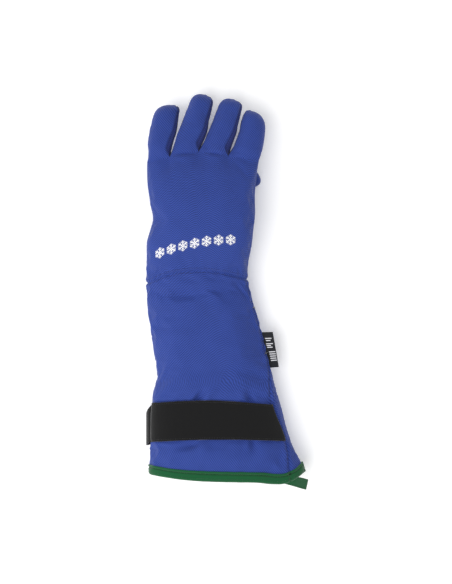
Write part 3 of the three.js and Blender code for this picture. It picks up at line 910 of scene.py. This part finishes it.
shell_cloth = woven("shell_cloth", BLUE, depth=0.6)
printed_cloth = woven("printed_cloth", BLUE, depth=0.6, printed=True)
# the darker blue of this cloth is painted shade of the finger sides
fourchette_cloth = woven("fourchette_cloth", FOURCHETTE_SHADE_BLUE, depth=0.4)
felt_cloth = felted("felt_cloth", FELT_GREY)
lining_cloth = felted("lining_cloth", LINING_CREAM, scale=1400)
binding_cloth = felted("binding_cloth", GREEN, scale=1600)
strap_cloth = felted("strap_cloth", BLACK, scale=1300)
label_cloth = felted("label_cloth", LABEL_BLACK, scale=2000)
print_cloth = felted("print_cloth", PRINT_WHITE, scale=2000)
thread_blue = felted("thread_blue", THREAD_BLUE, scale=3000)
thread_green = felted("thread_green", THREAD_GREEN, scale=3000)
thread_black = felted("thread_black", THREAD_BLACK, scale=3000)


# ---------------------------------------------------------------- cut the shell into its panels

def panel_faces(grid, row_range, column_range, with_cap=False):
    """The faces of a stretch of a grid, numbered as in grid.flat."""
    rows, columns = grid.points.shape[:2]
    quads = grid_faces(rows, columns, 0, closed=True).reshape(rows - 1, columns, 4)
    wanted = [c % columns for c in range(*column_range)]
    faces = quads[row_range[0]:row_range[1]][:, wanted].reshape(-1, 4)
    if with_cap:
        cap = grid.faces()[(rows - 1) * columns:]
        faces = np.vstack([faces, cap[wanted]])
    return faces


def flat_of(grid_name, values):
    """Values of a grid's points as a list in the order of grid.flat, the cap point included."""
    grid = fine[grid_name]
    flat = values.reshape(-1, values.shape[-1])
    if grid.capped:
        flat = np.vstack([flat, values[-1].mean(0)])
    return flat


def print_coordinates(points):
    """Millimetres along and across the printed row, which runs straight on beyond both its ends."""
    run = np.linspace(PRINT_LINE[0][0], PRINT_LINE[-1][0], 120)
    rise = along(PRINT_LINE, run)
    length = np.concatenate([[0], np.cumsum(np.hypot(np.diff(run), np.diff(rise)))])
    x, y = points[:, 0], points[:, 1]
    beyond = np.minimum(x - run[0], 0) + np.maximum(x - run[-1], 0)
    p = np.interp(x, run, length) + beyond - np.interp(PRINT_START_X, run, length)
    return np.stack([p, y - along(PRINT_LINE, x), np.zeros(len(points))], axis=-1)


def shell_panel(name, grid_name, row_range, column_range, material, slot, capped=False):
    """One sewn panel of the outer shell, cut out of a grid and given its thickness."""
    grid = fine[grid_name]
    faces = panel_faces(grid, row_range, column_range, with_cap=capped)
    flat_normals = unit(flat_of(grid_name, normals[grid_name]))
    threads = flat_of(grid_name, weave[grid_name])
    attributes = {"weave": np.hstack([threads, np.zeros((len(threads), 1))])}
    if name == "hand_back_panel":
        attributes["print"] = print_coordinates(grid.flat)
        material = printed_cloth
    obj = thick_sheet(name, grid.flat, faces, flat_normals, 0.0, SHELL, attributes=attributes)
    dress(obj, material, slot, name)
    return obj


last_row = len(fine["body"].points) - 1
wrist_row = 2 * GAUNTLET_ROWS
seam_column = 2 * SEAM_COLUMN
full = 2 * AROUND
panels = [
    ("gauntlet_back_panel", (0, wrist_row), (0, seam_column)),
    ("gauntlet_palm_panel", (0, wrist_row), (seam_column, full)),
    ("hand_back_panel", (wrist_row, last_row), (0, full // 2)),
    ("hand_palm_panel", (wrist_row, last_row), (full // 2, full)),
]
for panel_name, row_range, column_range in panels:
    panel = shell_panel(panel_name, "body", row_range, column_range, shell_cloth, "shell")
    follow_wrist(panel)

for finger_name in ORDER:
    _, ends = finger_angles(finger_name)
    ends = [2 * int(e) for e in ends]
    arcs = ["back_panel", "fourchette_right", "palm_panel", "fourchette_left"]
    if finger_name == "index":
        arcs.remove("fourchette_left")
    if finger_name == "little":
        arcs.remove("fourchette_right")
    rows = len(fine[finger_name].points) - 1
    for arc, first, last in zip(arcs, ends, ends[1:]):
        walls = "fourchette" in arc
        panel = shell_panel(f"{finger_name}_{arc}", finger_name, (0, rows), (first, last),
                            fourchette_cloth if walls else shell_cloth,
                            "fourchette" if walls else "shell", capped=True)
        follow_finger(panel, finger_name)


# ---------------------------------------------------------------- felt and lining inside

halved = {name: Grid(grid.points[::2, ::2], grid.capped) for name, grid in fine.items()}
halved_normals = all_normals(halved)


def add_inner_layer(layer, outer, inner, material, grids, grid_normals, step):
    """One layer of the wall, in the gauntlet, the hand and the fingers, on every step-th fine row."""
    body = grids["body"]
    flat_normals = unit(grid_normals["body"]).reshape(-1, 3)
    mouth, wrist, last = 2 // step, wrist_row // step, len(body.points) - 1
    for part, row_range in (("gauntlet", (mouth, wrist)), ("hand", (wrist, last))):
        faces = panel_faces(body, row_range, (0, body.points.shape[1]))
        piece = thick_sheet(f"{part}_{layer}", body.flat, faces, flat_normals, outer, inner)
        dress(piece, material, layer, f"{part}_{layer}")
        follow_wrist(piece)
    for finger_name in ORDER:
        grid = grids[finger_name]
        columns = grid.points.shape[1]
        faces = panel_faces(grid, (0, len(grid.points) - 1), (0, columns), with_cap=True)
        flat_normals = grid_normals[finger_name].reshape(-1, 3)
        flat_normals = unit(np.vstack([flat_normals, grid_normals[finger_name][-1].mean(0)]))
        piece = thick_sheet(f"{finger_name}_{layer}", grid.flat, faces, flat_normals, outer, inner)
        dress(piece, material, layer, f"{finger_name}_{layer}")
        follow_finger(piece, finger_name)


add_inner_layer("insulation", *FELT, felt_cloth, fine, normals, 1)
add_inner_layer("lining", *LINING, lining_cloth, halved, halved_normals, 2)


# ---------------------------------------------------------------- places on the finished shell

def point_at(distance, distances, path):
    """The point of a path at one of the distances that its own points are listed with."""
    return np.array([np.interp(distance, distances, path[:, i]) for i in range(3)])


def place_on(points, surface_normals, column, y):
    """The point and normal of the shell at a fine column, which may be a fraction, and a y."""
    low = math.floor(column)
    part = column - low
    columns = points.shape[1]
    path = mix(points[:, low % columns], points[:, (low + 1) % columns], part)
    normal = mix(surface_normals[:, low % columns], surface_normals[:, (low + 1) % columns], part)
    rows = np.arange(len(path))
    row = np.interp(y, path[:, 1], rows)
    return point_at(row, rows, path), unit(point_at(row, rows, normal))


def on_body(column, y):
    return place_on(fine["body"].points, normals["body"], column, y)


STITCH_FROM_EDGE = 2.5              # of a tape's lines of stitches


def strip_grid(section, count):
    """Points across a tape: finer near both edges, where it rounds over and is stitched."""
    near = [0, 0.5, 1.2, 2.0, 2.5, 3.0, 4.2]
    middle = np.linspace(6.5, section - 6.5, count)
    return np.array(near + list(middle) + [section - d for d in reversed(near)])


def tape_profile(distance, width):
    """How far the face of a tape stands in from its highest: round edges and a stitched line."""
    edge = np.minimum(distance, width - distance)
    rounding = 0.55 * np.clip(1 - edge / 1.3, 0, 1) ** 2
    return rounding + 0.35 * np.exp(-((edge - STITCH_FROM_EDGE) / 0.45) ** 2)


def closed_tape(name, centres, normals_, thickness, distances, width, material, slot, *nodes):
    """A tape from a grid of points on its lower face, with rounded edges on its upper face."""
    rows, columns = centres.shape[:2]
    upper = centres + normals_ * (thickness - tape_profile(distances, width))[None, :, None]
    faces, _ = two_sided(grid_faces(rows, columns), rows * columns)
    points = np.vstack([upper.reshape(-1, 3), centres.reshape(-1, 3)])
    obj = add_mesh(name, points, faces)
    dress(obj, material, slot, *nodes)
    return obj


# ---------------------------------------------------------------- sewing thread

STITCH_SUNK = 0.1


def thread(name, lines, colour_material, pitch=3.4, length=2.5, radius=0.3):
    """Stitches as small spindles along lines of (points, normals), half sunk in the cloth."""
    points, faces = [], []
    for line, facing in lines:
        line, facing = np.array(line), np.array(facing)
        travel = np.concatenate([[0], np.cumsum(np.linalg.norm(np.diff(line, axis=0), axis=-1))])
        for start in np.arange(0.5, travel[-1] - length, pitch):
            a, b = point_at(start, travel, line), point_at(start + length, travel, line)
            up = unit(point_at(start + length / 2, travel, facing))
            ahead = unit(b - a)
            side = np.cross(ahead, up)
            first = len(points)
            points.append(a - up * STITCH_SUNK)
            for share in (0.22, 0.78):
                centre = mix(a, b, share)
                for turn in range(6):
                    angle = turn * math.pi / 3
                    points.append(centre + radius * (side * math.cos(angle) + up * math.sin(angle)))
            points.append(b - up * STITCH_SUNK)
            last = first + 13
            for turn in range(6):
                one, two = first + 1 + turn, first + 1 + (turn + 1) % 6
                faces.append([first, one, two, two])
                faces.append([one, one + 6, two + 6, two])
                faces.append([last, two + 6, one + 6, one + 6])
    obj = add_mesh(name, np.array(points), np.array(faces))
    obj.data.materials.append(colour_material)
    return obj


WRIST_STITCH = 3.2                  # from the wrist seam to the stitches on both sides of it


def add_shell_threads():
    """Topstitching beside the wrist seam and the side seam, and along the finger seams."""
    body = fine["body"].points
    lines = []
    for beyond in (WRIST_STITCH, -WRIST_STITCH):
        ring = [on_body(c % full, body[wrist_row, c % full, 1] + beyond) for c in range(full + 1)]
        lines.append(tuple(zip(*ring)))
    rows = range(4, wrist_row - 3)
    beside = [on_body(seam_column - 1.1, body[row, seam_column, 1]) for row in rows]
    lines.append(tuple(zip(*beside)))
    stitched = thread("shell_topstitch", lines, thread_blue)
    follow_wrist(stitched)
    for name in ORDER:
        if name == "little":
            continue
        _, ends = finger_angles(name)
        column = 2 * int(ends[1]) - 1
        line = (fine[name].points[3:-2, column], normals[name][3:-2, column])
        seam = thread(f"{name}_topstitch", [line], thread_blue, pitch=3.0, length=2.1, radius=0.24)
        follow_finger(seam, name)


# ---------------------------------------------------------------- the cuff strap

STRAP_WIDTH = 54.0
STRAP_Y = -180                      # a height within the strap, where its columns are looked up


def add_strap():
    """The sewn band over the back of the gauntlet. Its first row is where the free end begins."""
    distances = strip_grid(STRAP_WIDTH, 9)
    rows, facing = [], []
    for column in np.linspace(7, seam_column - 0.6, 60):
        x = place_on(smooth_body, smooth_normals, column, STRAP_Y)[0][0]
        heights = mix(along(STRAP_BOTTOM, x), along(STRAP_TOP, x), distances / STRAP_WIDTH)
        line = [place_on(smooth_body, smooth_normals, column, y) for y in heights]
        rows.append([point + normal * 0.4 for point, normal in line])
        facing.append([normal for _, normal in line])
    rows, facing = np.array(rows), np.array(facing)
    band = closed_tape("strap_band", rows[::-1], facing[::-1], STRAP_THICK,
                       distances, STRAP_WIDTH, strap_cloth, "webbing", "strap_band")
    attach(band, "gauntlet")
    surface = rows + facing * (STRAP_THICK - 0.3)
    low, high = (int(np.argmin(np.abs(distances - d)))
                 for d in (STITCH_FROM_EDGE, STRAP_WIDTH - STITCH_FROM_EDGE))
    lines = [(surface[:, e], facing[:, e]) for e in (low, high)]
    for column in (-3, -12):
        lines.append((surface[column, low:high + 1], facing[column, low:high + 1]))
    stitched = thread("strap_stitches", lines, thread_black)
    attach(stitched, "gauntlet")
    return rows[0]


def add_strap_end(first_row):
    """The free end of the strap: out over the left edge, round it and back underneath."""
    loop = [(-109.4, 27.3), (-111.2, 23.5), (-111.9, 18), (-111.3, 12.5), (-108.5, 8), (-103.5, 5),
            (-97, 3.3), (-90, 2.7), (-82, 2.5), (-74, 2.45)]
    top_y = [-163, -167, -169.5, -170.5, -169, -167, -164, -162, -160, -159]
    bottom_y = [-210, -212.5, -214.5, -215, -214.5, -213.5, -212.5, -212, -211, -210.5]
    distances = strip_grid(STRAP_WIDTH, 9)
    knots = np.arange(len(loop))
    steps = np.linspace(0, len(loop) - 1, 40)
    outline = [along(list(zip(knots, [p[i] for p in loop])), steps) for i in (0, 1)]
    tops, bottoms = np.interp(steps, knots, top_y), np.interp(steps, knots, bottom_y)
    rows = [first_row]
    for x, z, top, bottom in zip(*outline, tops, bottoms):
        y = mix(bottom, top, distances / STRAP_WIDTH)
        rows.append(np.stack([np.full(len(y), x), y, np.full(len(y), z)], axis=-1))
    outer = np.array(rows)
    ahead = np.gradient(outer, axis=0)
    facing = unit(np.cross(np.gradient(outer, axis=1), ahead))
    centres = outer - facing * STRAP_THICK
    centres[0] = first_row
    centres[0, :, 0] += 1.5
    tab = closed_tape("strap_tab", centres, facing, STRAP_THICK,
                      distances, STRAP_WIDTH, strap_cloth, "webbing", "strap_tab")
    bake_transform(tab)


PATCH_THICK = 0.8


def add_patch():
    """The loop patch under the gauntlet that the strap's end fastens to."""
    lo, hi = (np.array(corner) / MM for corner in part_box("strap_loop_patch"))
    width = hi[1] - lo[1]
    distances = strip_grid(width, 6)
    first = full * 3 // 4
    rows, facing = [], []
    for column in np.linspace(first - 10, full - 18, 24):
        line = [on_body(column, lo[1] + d) for d in distances]
        if not lo[0] <= line[0][0][0] <= hi[0]:
            continue
        rows.append([point for point, _ in line])
        facing.append([normal for _, normal in line])
    patch = closed_tape("strap_loop_patch", np.array(rows)[::-1], np.array(facing)[::-1], PATCH_THICK,
                        distances, width, strap_cloth, "webbing", "strap_loop_patch")
    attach(patch, "gauntlet")


add_strap_end(add_strap())
add_patch()


# ---------------------------------------------------------------- the hem binding

# the folded tape's section: (up the wall from the mouth, out of the wall)
BINDING_PROFILE = [(12.5, 0.15), (12.7, 1.1), (12.0, 1.6), (10.4, 1.7), (9.7, 1.2), (9.1, 0.3),
                   (8.3, 0.3), (7.7, 1.3), (6.8, 1.8), (4.5, 1.9), (1.5, 1.7), (-0.4, 1.2),
                   (-1.6, -0.4), (-2.0, -2.4), (-1.7, -4.4), (-0.6, -6.2), (1.5, -7.6), (5, -8.4),
                   (9.5, -8.6), (10.1, -8.2), (9.6, -7.6), (5, -7.2), (2, -6.3), (0.6, -4.6),
                   (0.1, -2.5), (0.5, -0.6), (2.5, 0.25), (7, 0.2)]
BINDING_STITCHES = [(8.7, 0.5), (2.6, 1.8)]
BINDING_ROWS = 12                   # of the gauntlet, more than the tape covers


def wall_at_mouth(column):
    """The way up the wall from the mouth at a column, and the direction out of the wall there."""
    column = column % full
    facing = normals["body"][2, column] + normals["body"][4, column]
    return fine["body"].points[:BINDING_ROWS, column], unit(facing)


def add_binding():
    """The tape folded over the mouth's edge, swept round it, with its two rows of stitches."""
    steps = np.diff(fine["body"].points[:BINDING_ROWS], axis=0)
    heights = np.cumsum([0] + list(np.linalg.norm(steps, axis=-1).mean(1)))
    rings = []
    for column in range(full):
        path, facing = wall_at_mouth(column)
        up = unit(path[5] - path[0])
        rings.append([point_at(rise, heights, path) + up * min(rise, 0) + facing * out
                      for rise, out in BINDING_PROFILE])
    rings = np.array(rings)
    rings[..., 2] = np.maximum(rings[..., 2], 0.15)
    count = len(BINDING_PROFILE)
    faces = grid_faces(full, count, 0, closed=True)
    last = (full - 1) * count
    joins = [[last + j, last + (j + 1) % count, (j + 1) % count, j] for j in range(count)]
    band = add_mesh("hem_binding", rings.reshape(-1, 3), np.vstack([faces, joins])[:, ::-1])
    dress(band, binding_cloth, "binding", "hem_binding")
    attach(band, "gauntlet")
    walls = [wall_at_mouth(column) for column in range(full + 1)]
    lines = []
    for rise, out in BINDING_STITCHES:
        line = [(point_at(rise, heights, path) + facing * out, facing) for path, facing in walls]
        lines.append(tuple(zip(*line)))
    stitched = thread("binding_stitches", lines, thread_green, pitch=3.0, length=2.2, radius=0.26)
    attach(stitched, "gauntlet")


RIBBON_THICK = 2.2


def add_ribbon(name, lower, upper):
    """A short folded tape between two edges, given as points from one end to the other."""
    lower, upper = np.array(lower, float), np.array(upper, float)
    t = np.linspace(0, len(lower) - 1, 17)
    knots = np.arange(len(lower))
    low, high = (np.stack([along(list(zip(knots, edge[:, i])), t) for i in range(3)], axis=-1)
                 for edge in (lower, upper))
    width = float(np.linalg.norm(high - low, axis=-1).mean())
    distances = np.array([0, 0.4, 1, 2.6, 3.1, 3.6, width * 0.5, width - 2, width - 1, width - 0.4, width])
    share = distances / width
    centres = low[:, None] + (high - low)[:, None] * share[None, :, None]
    facing = unit(np.cross(np.gradient(centres, axis=0), np.gradient(centres, axis=1)))
    if facing[..., 2].mean() < 0:
        centres, facing = centres[::-1], -facing[::-1]
    edge = np.minimum(distances, width - distances)
    rounding = 0.5 * np.clip(1 - edge / 1.2, 0, 1) ** 2
    sewn_line = 0.4 * np.exp(-((distances - 3.1) / 0.5) ** 2)
    upper_face = centres + facing * (RIBBON_THICK - rounding - sewn_line)[None, :, None]
    rows, columns = centres.shape[:2]
    faces, _ = two_sided(grid_faces(rows, columns), rows * columns)
    obj = add_mesh(name, np.vstack([upper_face.reshape(-1, 3), centres.reshape(-1, 3)]), faces)
    dress(obj, binding_cloth, "binding")
    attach(obj, "gauntlet")


def add_binding_ends():
    """The two loose ends of the binding, which spread like a fishtail at the side seam."""
    add_ribbon("binding_tail",
               [(80, -264.5, 49), (92, -268.5, 43), (102, -272.5, 35), (110.5, -275.5, 27.5)],
               [(86, -252.5, 49.5), (96, -255.5, 43.5), (105, -258, 35.5), (113.5, -261, 28)])
    add_ribbon("binding_turned_end",
               [(98, -257, 38), (104, -254, 33), (110, -250, 27)],
               [(95, -248, 40), (100, -242, 35), (105.5, -236, 29)])


add_binding()
add_binding_ends()


# ---------------------------------------------------------------- the side label

LABEL_CORNERS = [(50.9, -56), (65.3, -55.6), (73.7, -104.7), (62.8, -105.6)]   # inner top, clockwise
LABEL_Z = 25.6
LABEL_THICK = 1.0
# woven bars in place of lettering: first edge, how far down, last edge, all from 0 to 1
LABEL_BARS = [(0.1, 0.18, 0.75), (0.15, 0.24, 0.6), (0.1, 0.33, 0.8), (0.1, 0.38, 0.55),
              (0.12, 0.43, 0.7), (0.2, 0.56, 0.9), (0.2, 0.62, 0.9), (0.2, 0.68, 0.9),
              (0.2, 0.74, 0.9), (0.2, 0.80, 0.9)]
BAR_HALF_HEIGHT = 0.012
BAR_LIFT = 0.62
BAR_THICK = 0.16


def label_place(across, down):
    """A point of the label: across from the seam outwards, down from its top, both 0 to 1."""
    a, b, c, d = (np.array(corner, float) for corner in LABEL_CORNERS)
    x, y = mix(mix(a, b, across), mix(d, c, across), down)
    curl = 1.2 * math.sin(across * 2.2) + 0.5 * math.sin(down * 5 + 0.6) * across
    return np.array([x, y, LABEL_Z + curl])


def add_label():
    """The woven flag, which reaches a little way into the side seam, and the bars on it."""
    rows = np.array([[label_place(across, down) for across in np.linspace(-0.12, 1, 10)]
                     for down in np.linspace(0, 1, 28)])
    ahead, across = np.gradient(rows, axis=0), np.gradient(rows, axis=1)
    facing = unit(np.cross(ahead, across))
    facing *= np.sign(facing[..., 2:3])
    faces = grid_faces(*rows.shape[:2])[:, ::-1]
    upper = rows + facing * LABEL_THICK / 2
    label = thick_sheet("side_label", upper.reshape(-1, 3), faces, facing.reshape(-1, 3), 0.0, LABEL_THICK)
    dress(label, label_cloth, "label", "side_label")
    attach(label, "label")
    points, quads = [], []
    for first, middle, last in LABEL_BARS:
        for step, bar_across in enumerate(np.linspace(first, last, 7)):
            if step > 0:
                a = len(points) - 2
                quads.append([a, a + 1, a + 3, a + 2])
            for down in (middle - BAR_HALF_HEIGHT, middle + BAR_HALF_HEIGHT):
                points.append(label_place(bar_across, down) + [0, 0, BAR_LIFT])
    up = np.tile([0, 0, 1.0], (len(points), 1))
    marks = thick_sheet("label_bars", np.array(points), np.array(quads), up, 0.0, BAR_THICK)
    dress(marks, print_cloth, "label")
    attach(marks, "label")


# ---------------------------------------------------------------- the thumb, folded under the palm

THUMB_LEAN = 55.6
THUMB_LENGTH = 138
THUMB_HALF_WIDTH = 16.8
THUMB_HALF_DEPTH = 11.6
THUMB_BOW = 3                       # how far it bends between root and tip
THUMB_HEEL = 17                     # the round end behind the joint
THUMB_TIP = 11                      # the round end at the tip
THUMB_SQUARE = 2.3                  # power of its section, where 2 is an ellipse
THUMB_GIRTH = 92
THUMB_SEAM = (0.8, 0.8)             # depth and width of the groove along its two seams


def add_thumb():
    """The whole thumb, lying flat under the palm. It gives back the place of its joint."""
    joint = next(j for j in frame["joints"] if j["child"] == "thumb")
    root = np.array(joint["pos_m"]) / MM
    lean = math.radians(THUMB_LEAN)
    forward = np.array([math.sin(lean), math.cos(lean), 0])
    right = np.array([math.cos(lean), -math.sin(lean), 0])
    tip_start = THUMB_LENGTH - THUMB_TIP
    ahead = list(THUMB_HEEL * np.sin(np.linspace(-LAST_TURN, 0, 7)))
    ahead += list(np.linspace(4, tip_start - 4, 26))
    ahead += list(tip_start + THUMB_TIP * np.sin(np.linspace(0, LAST_TURN, 8)))
    angles = math.pi - np.linspace(0, 2 * math.pi, 49)[:-1]
    rings = []
    for distance in ahead:
        keep = rounded(10, THUMB_LENGTH, distance) * rounded(THUMB_HEEL, THUMB_HEEL, -distance)
        swell = 1 + 0.04 * math.sin(distance / 21)
        side = THUMB_HALF_WIDTH * keep * swell * power(np.cos(angles), 2 / THUMB_SQUARE)
        height = THUMB_HALF_DEPTH * keep * power(np.sin(angles), 2 / THUMB_SQUARE)
        bow = -THUMB_BOW * math.sin(math.pi * np.clip(distance / THUMB_LENGTH, 0, 1))
        ring = root + distance * forward + np.outer(side + bow, right)
        ring[:, 2] = THUMB_HALF_DEPTH + 0.4 + height
        rings.append(ring)
    grid = Grid(np.array(rings), capped=True)
    rows, columns = grid.points.shape[:2]
    points = np.vstack([grid.flat, grid.points[0].mean(0)])
    start_cap = np.stack([np.roll(np.arange(columns), -1), np.arange(columns),
                          np.full(columns, len(points) - 1), np.full(columns, len(points) - 1)], axis=-1)
    all_faces = np.vstack([grid.faces(), start_cap])
    facing = vertex_normals(points, all_faces)
    half = columns // 2
    past_seam = np.arange(columns) % half
    from_seam = np.minimum(past_seam, half - past_seam)
    seam_depth, seam_width = THUMB_SEAM
    depth = -seam_depth * np.exp(-(from_seam / seam_width) ** 2)
    shift = np.append(np.tile(depth, rows), [0, 0]) + 0.35 * ripple(points)
    points = points + facing * shift[:, None]
    points[:, 2] = np.maximum(points[:, 2], 0.2)
    facing = vertex_normals(points, all_faces)
    column_of = np.tile(np.arange(columns), rows + 1)      # of the faces, both caps included
    coordinates = np.zeros((len(points), 3))
    coordinates[:rows * columns, 0] = np.tile(np.arange(columns) / columns * THUMB_GIRTH, rows)
    coordinates[:rows * columns, 1] = np.repeat(ahead, columns)
    for part, wanted in (("inner", column_of < half), ("outer", column_of >= half)):
        panel = thick_sheet(f"thumb_{part}_panel", points, all_faces[wanted], facing, 0.0, SHELL,
                            attributes={"weave": coordinates})
        dress(panel, shell_cloth, "shell", f"thumb_{part}_panel")
        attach(panel, "thumb")
    layers = [("insulation", FELT, felt_cloth), ("lining", LINING, lining_cloth)]
    for layer, (outer, inner), material in layers:
        piece = thick_sheet(f"thumb_{layer}", points, all_faces, facing, outer, inner)
        dress(piece, material, layer, f"thumb_{layer}")
        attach(piece, "thumb")
    return root


COLLAR_PROFILE = [(12.0, 20.5), (15.5, 21.2), (17.4, 22.6), (18.2, 24.4), (17.2, 26.2), (13, 27)]
COLLAR_THICK = 1.0


def add_thumb_collar(root):
    """The round sewn joint between the palm and the thumb, about the axis that the thumb swings on."""
    turns = np.linspace(0, 2 * math.pi, 41)[:-1]
    rings = np.array([[[root[0] + r * math.cos(a), root[1] + r * math.sin(a), z]
                       for r, z in COLLAR_PROFILE] for a in turns])
    count = len(COLLAR_PROFILE)
    faces = grid_faces(len(turns), count)
    last = (len(turns) - 1) * count
    joins = [[last + j, last + j + 1, j + 1, j] for j in range(count - 1)]
    all_faces = np.vstack([faces, joins])
    points = rings.reshape(-1, 3)
    facing = vertex_normals(points, all_faces)
    outwards = points[:, :2] - root[:2]
    if (facing[:, :2] * outwards).sum() < 0:
        all_faces, facing = all_faces[:, ::-1], -facing
    collar = thick_sheet("thumb_collar", points, all_faces, facing, 0.0, COLLAR_THICK)
    dress(collar, fourchette_cloth, "shell")
    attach(collar, "hand")


add_thumb_collar(add_thumb())
add_label()
add_shell_threads()


# ---------------------------------------------------------------- floor, light and camera

def add_area_light(name, place, target, size, power_w, colour=(1, 1, 1)):
    data = bpy.data.lights.new(name, "AREA")
    data.shape = "DISK"
    data.size = size
    data.energy = power_w
    data.color = colour
    obj = bpy.data.objects.new(name, data)
    obj.location = place
    obj.rotation_mode = "QUATERNION"
    obj.rotation_quaternion = (Vector(target) - Vector(place)).to_track_quat("-Z", "Y")
    bpy.context.scene.collection.objects.link(obj)


FLOOR_GLOW = 0.22                   # a light table, which keeps the shadow soft and pale
FLOOR_HALF_SIDE_M = 6
FLOOR_BELOW = 0.4


def add_floor():
    corners = np.array([(-1, -1, 0), (1, -1, 0), (1, 1, 0), (-1, 1, 0)]) * FLOOR_HALF_SIDE_M / MM
    floor = add_mesh("floor", corners - [0, 0, FLOOR_BELOW], [[0, 1, 2, 3]], smooth=False)
    material, tree, shader = new_material("floor")
    set_inputs(tree, shader, {
        "Base Color": (0.95, 0.95, 0.95, 1),
        "Roughness": 0.9,
        "Specular IOR Level": 0.0,
        "Emission Color": (1, 1, 1, 1),
        "Emission Strength": FLOOR_GLOW,
    })
    floor.data.materials.append(material)


def add_world(strength):
    world = bpy.data.worlds.new("studio")
    world.use_nodes = True
    world.node_tree.nodes["Background"].inputs[0].default_value = (1, 1, 1, 1)
    world.node_tree.nodes["Background"].inputs[1].default_value = strength
    bpy.context.scene.world = world


VIEW_X, VIEW_Y = 0, 0
VIEW_HEIGHT = 0.812
CAMERA_DISTANCE = 2.4
GLOVE_MIDDLE_Z = 0.035


def add_camera():
    """Straight above the middle of the view, the fingertips at the top of the picture."""
    data = bpy.data.cameras.new("camera")
    data.sensor_width = 36
    data.lens = data.sensor_width * CAMERA_DISTANCE / VIEW_HEIGHT
    obj = bpy.data.objects.new("camera", data)
    obj.location = (VIEW_X, VIEW_Y, CAMERA_DISTANCE + GLOVE_MIDDLE_Z)
    bpy.context.scene.collection.objects.link(obj)
    bpy.context.scene.camera = obj


add_floor()
add_world(0.6)
add_area_light("key_light", (-1.2, -0.9, 1.8), (0, -0.05, 0), 2.8, 50)
add_area_light("fill_light", (0.9, 0.9, 2.0), (0, 0, 0), 1.8, 3)
add_camera()
bpy.context.scene.view_settings.view_transform = "Standard"
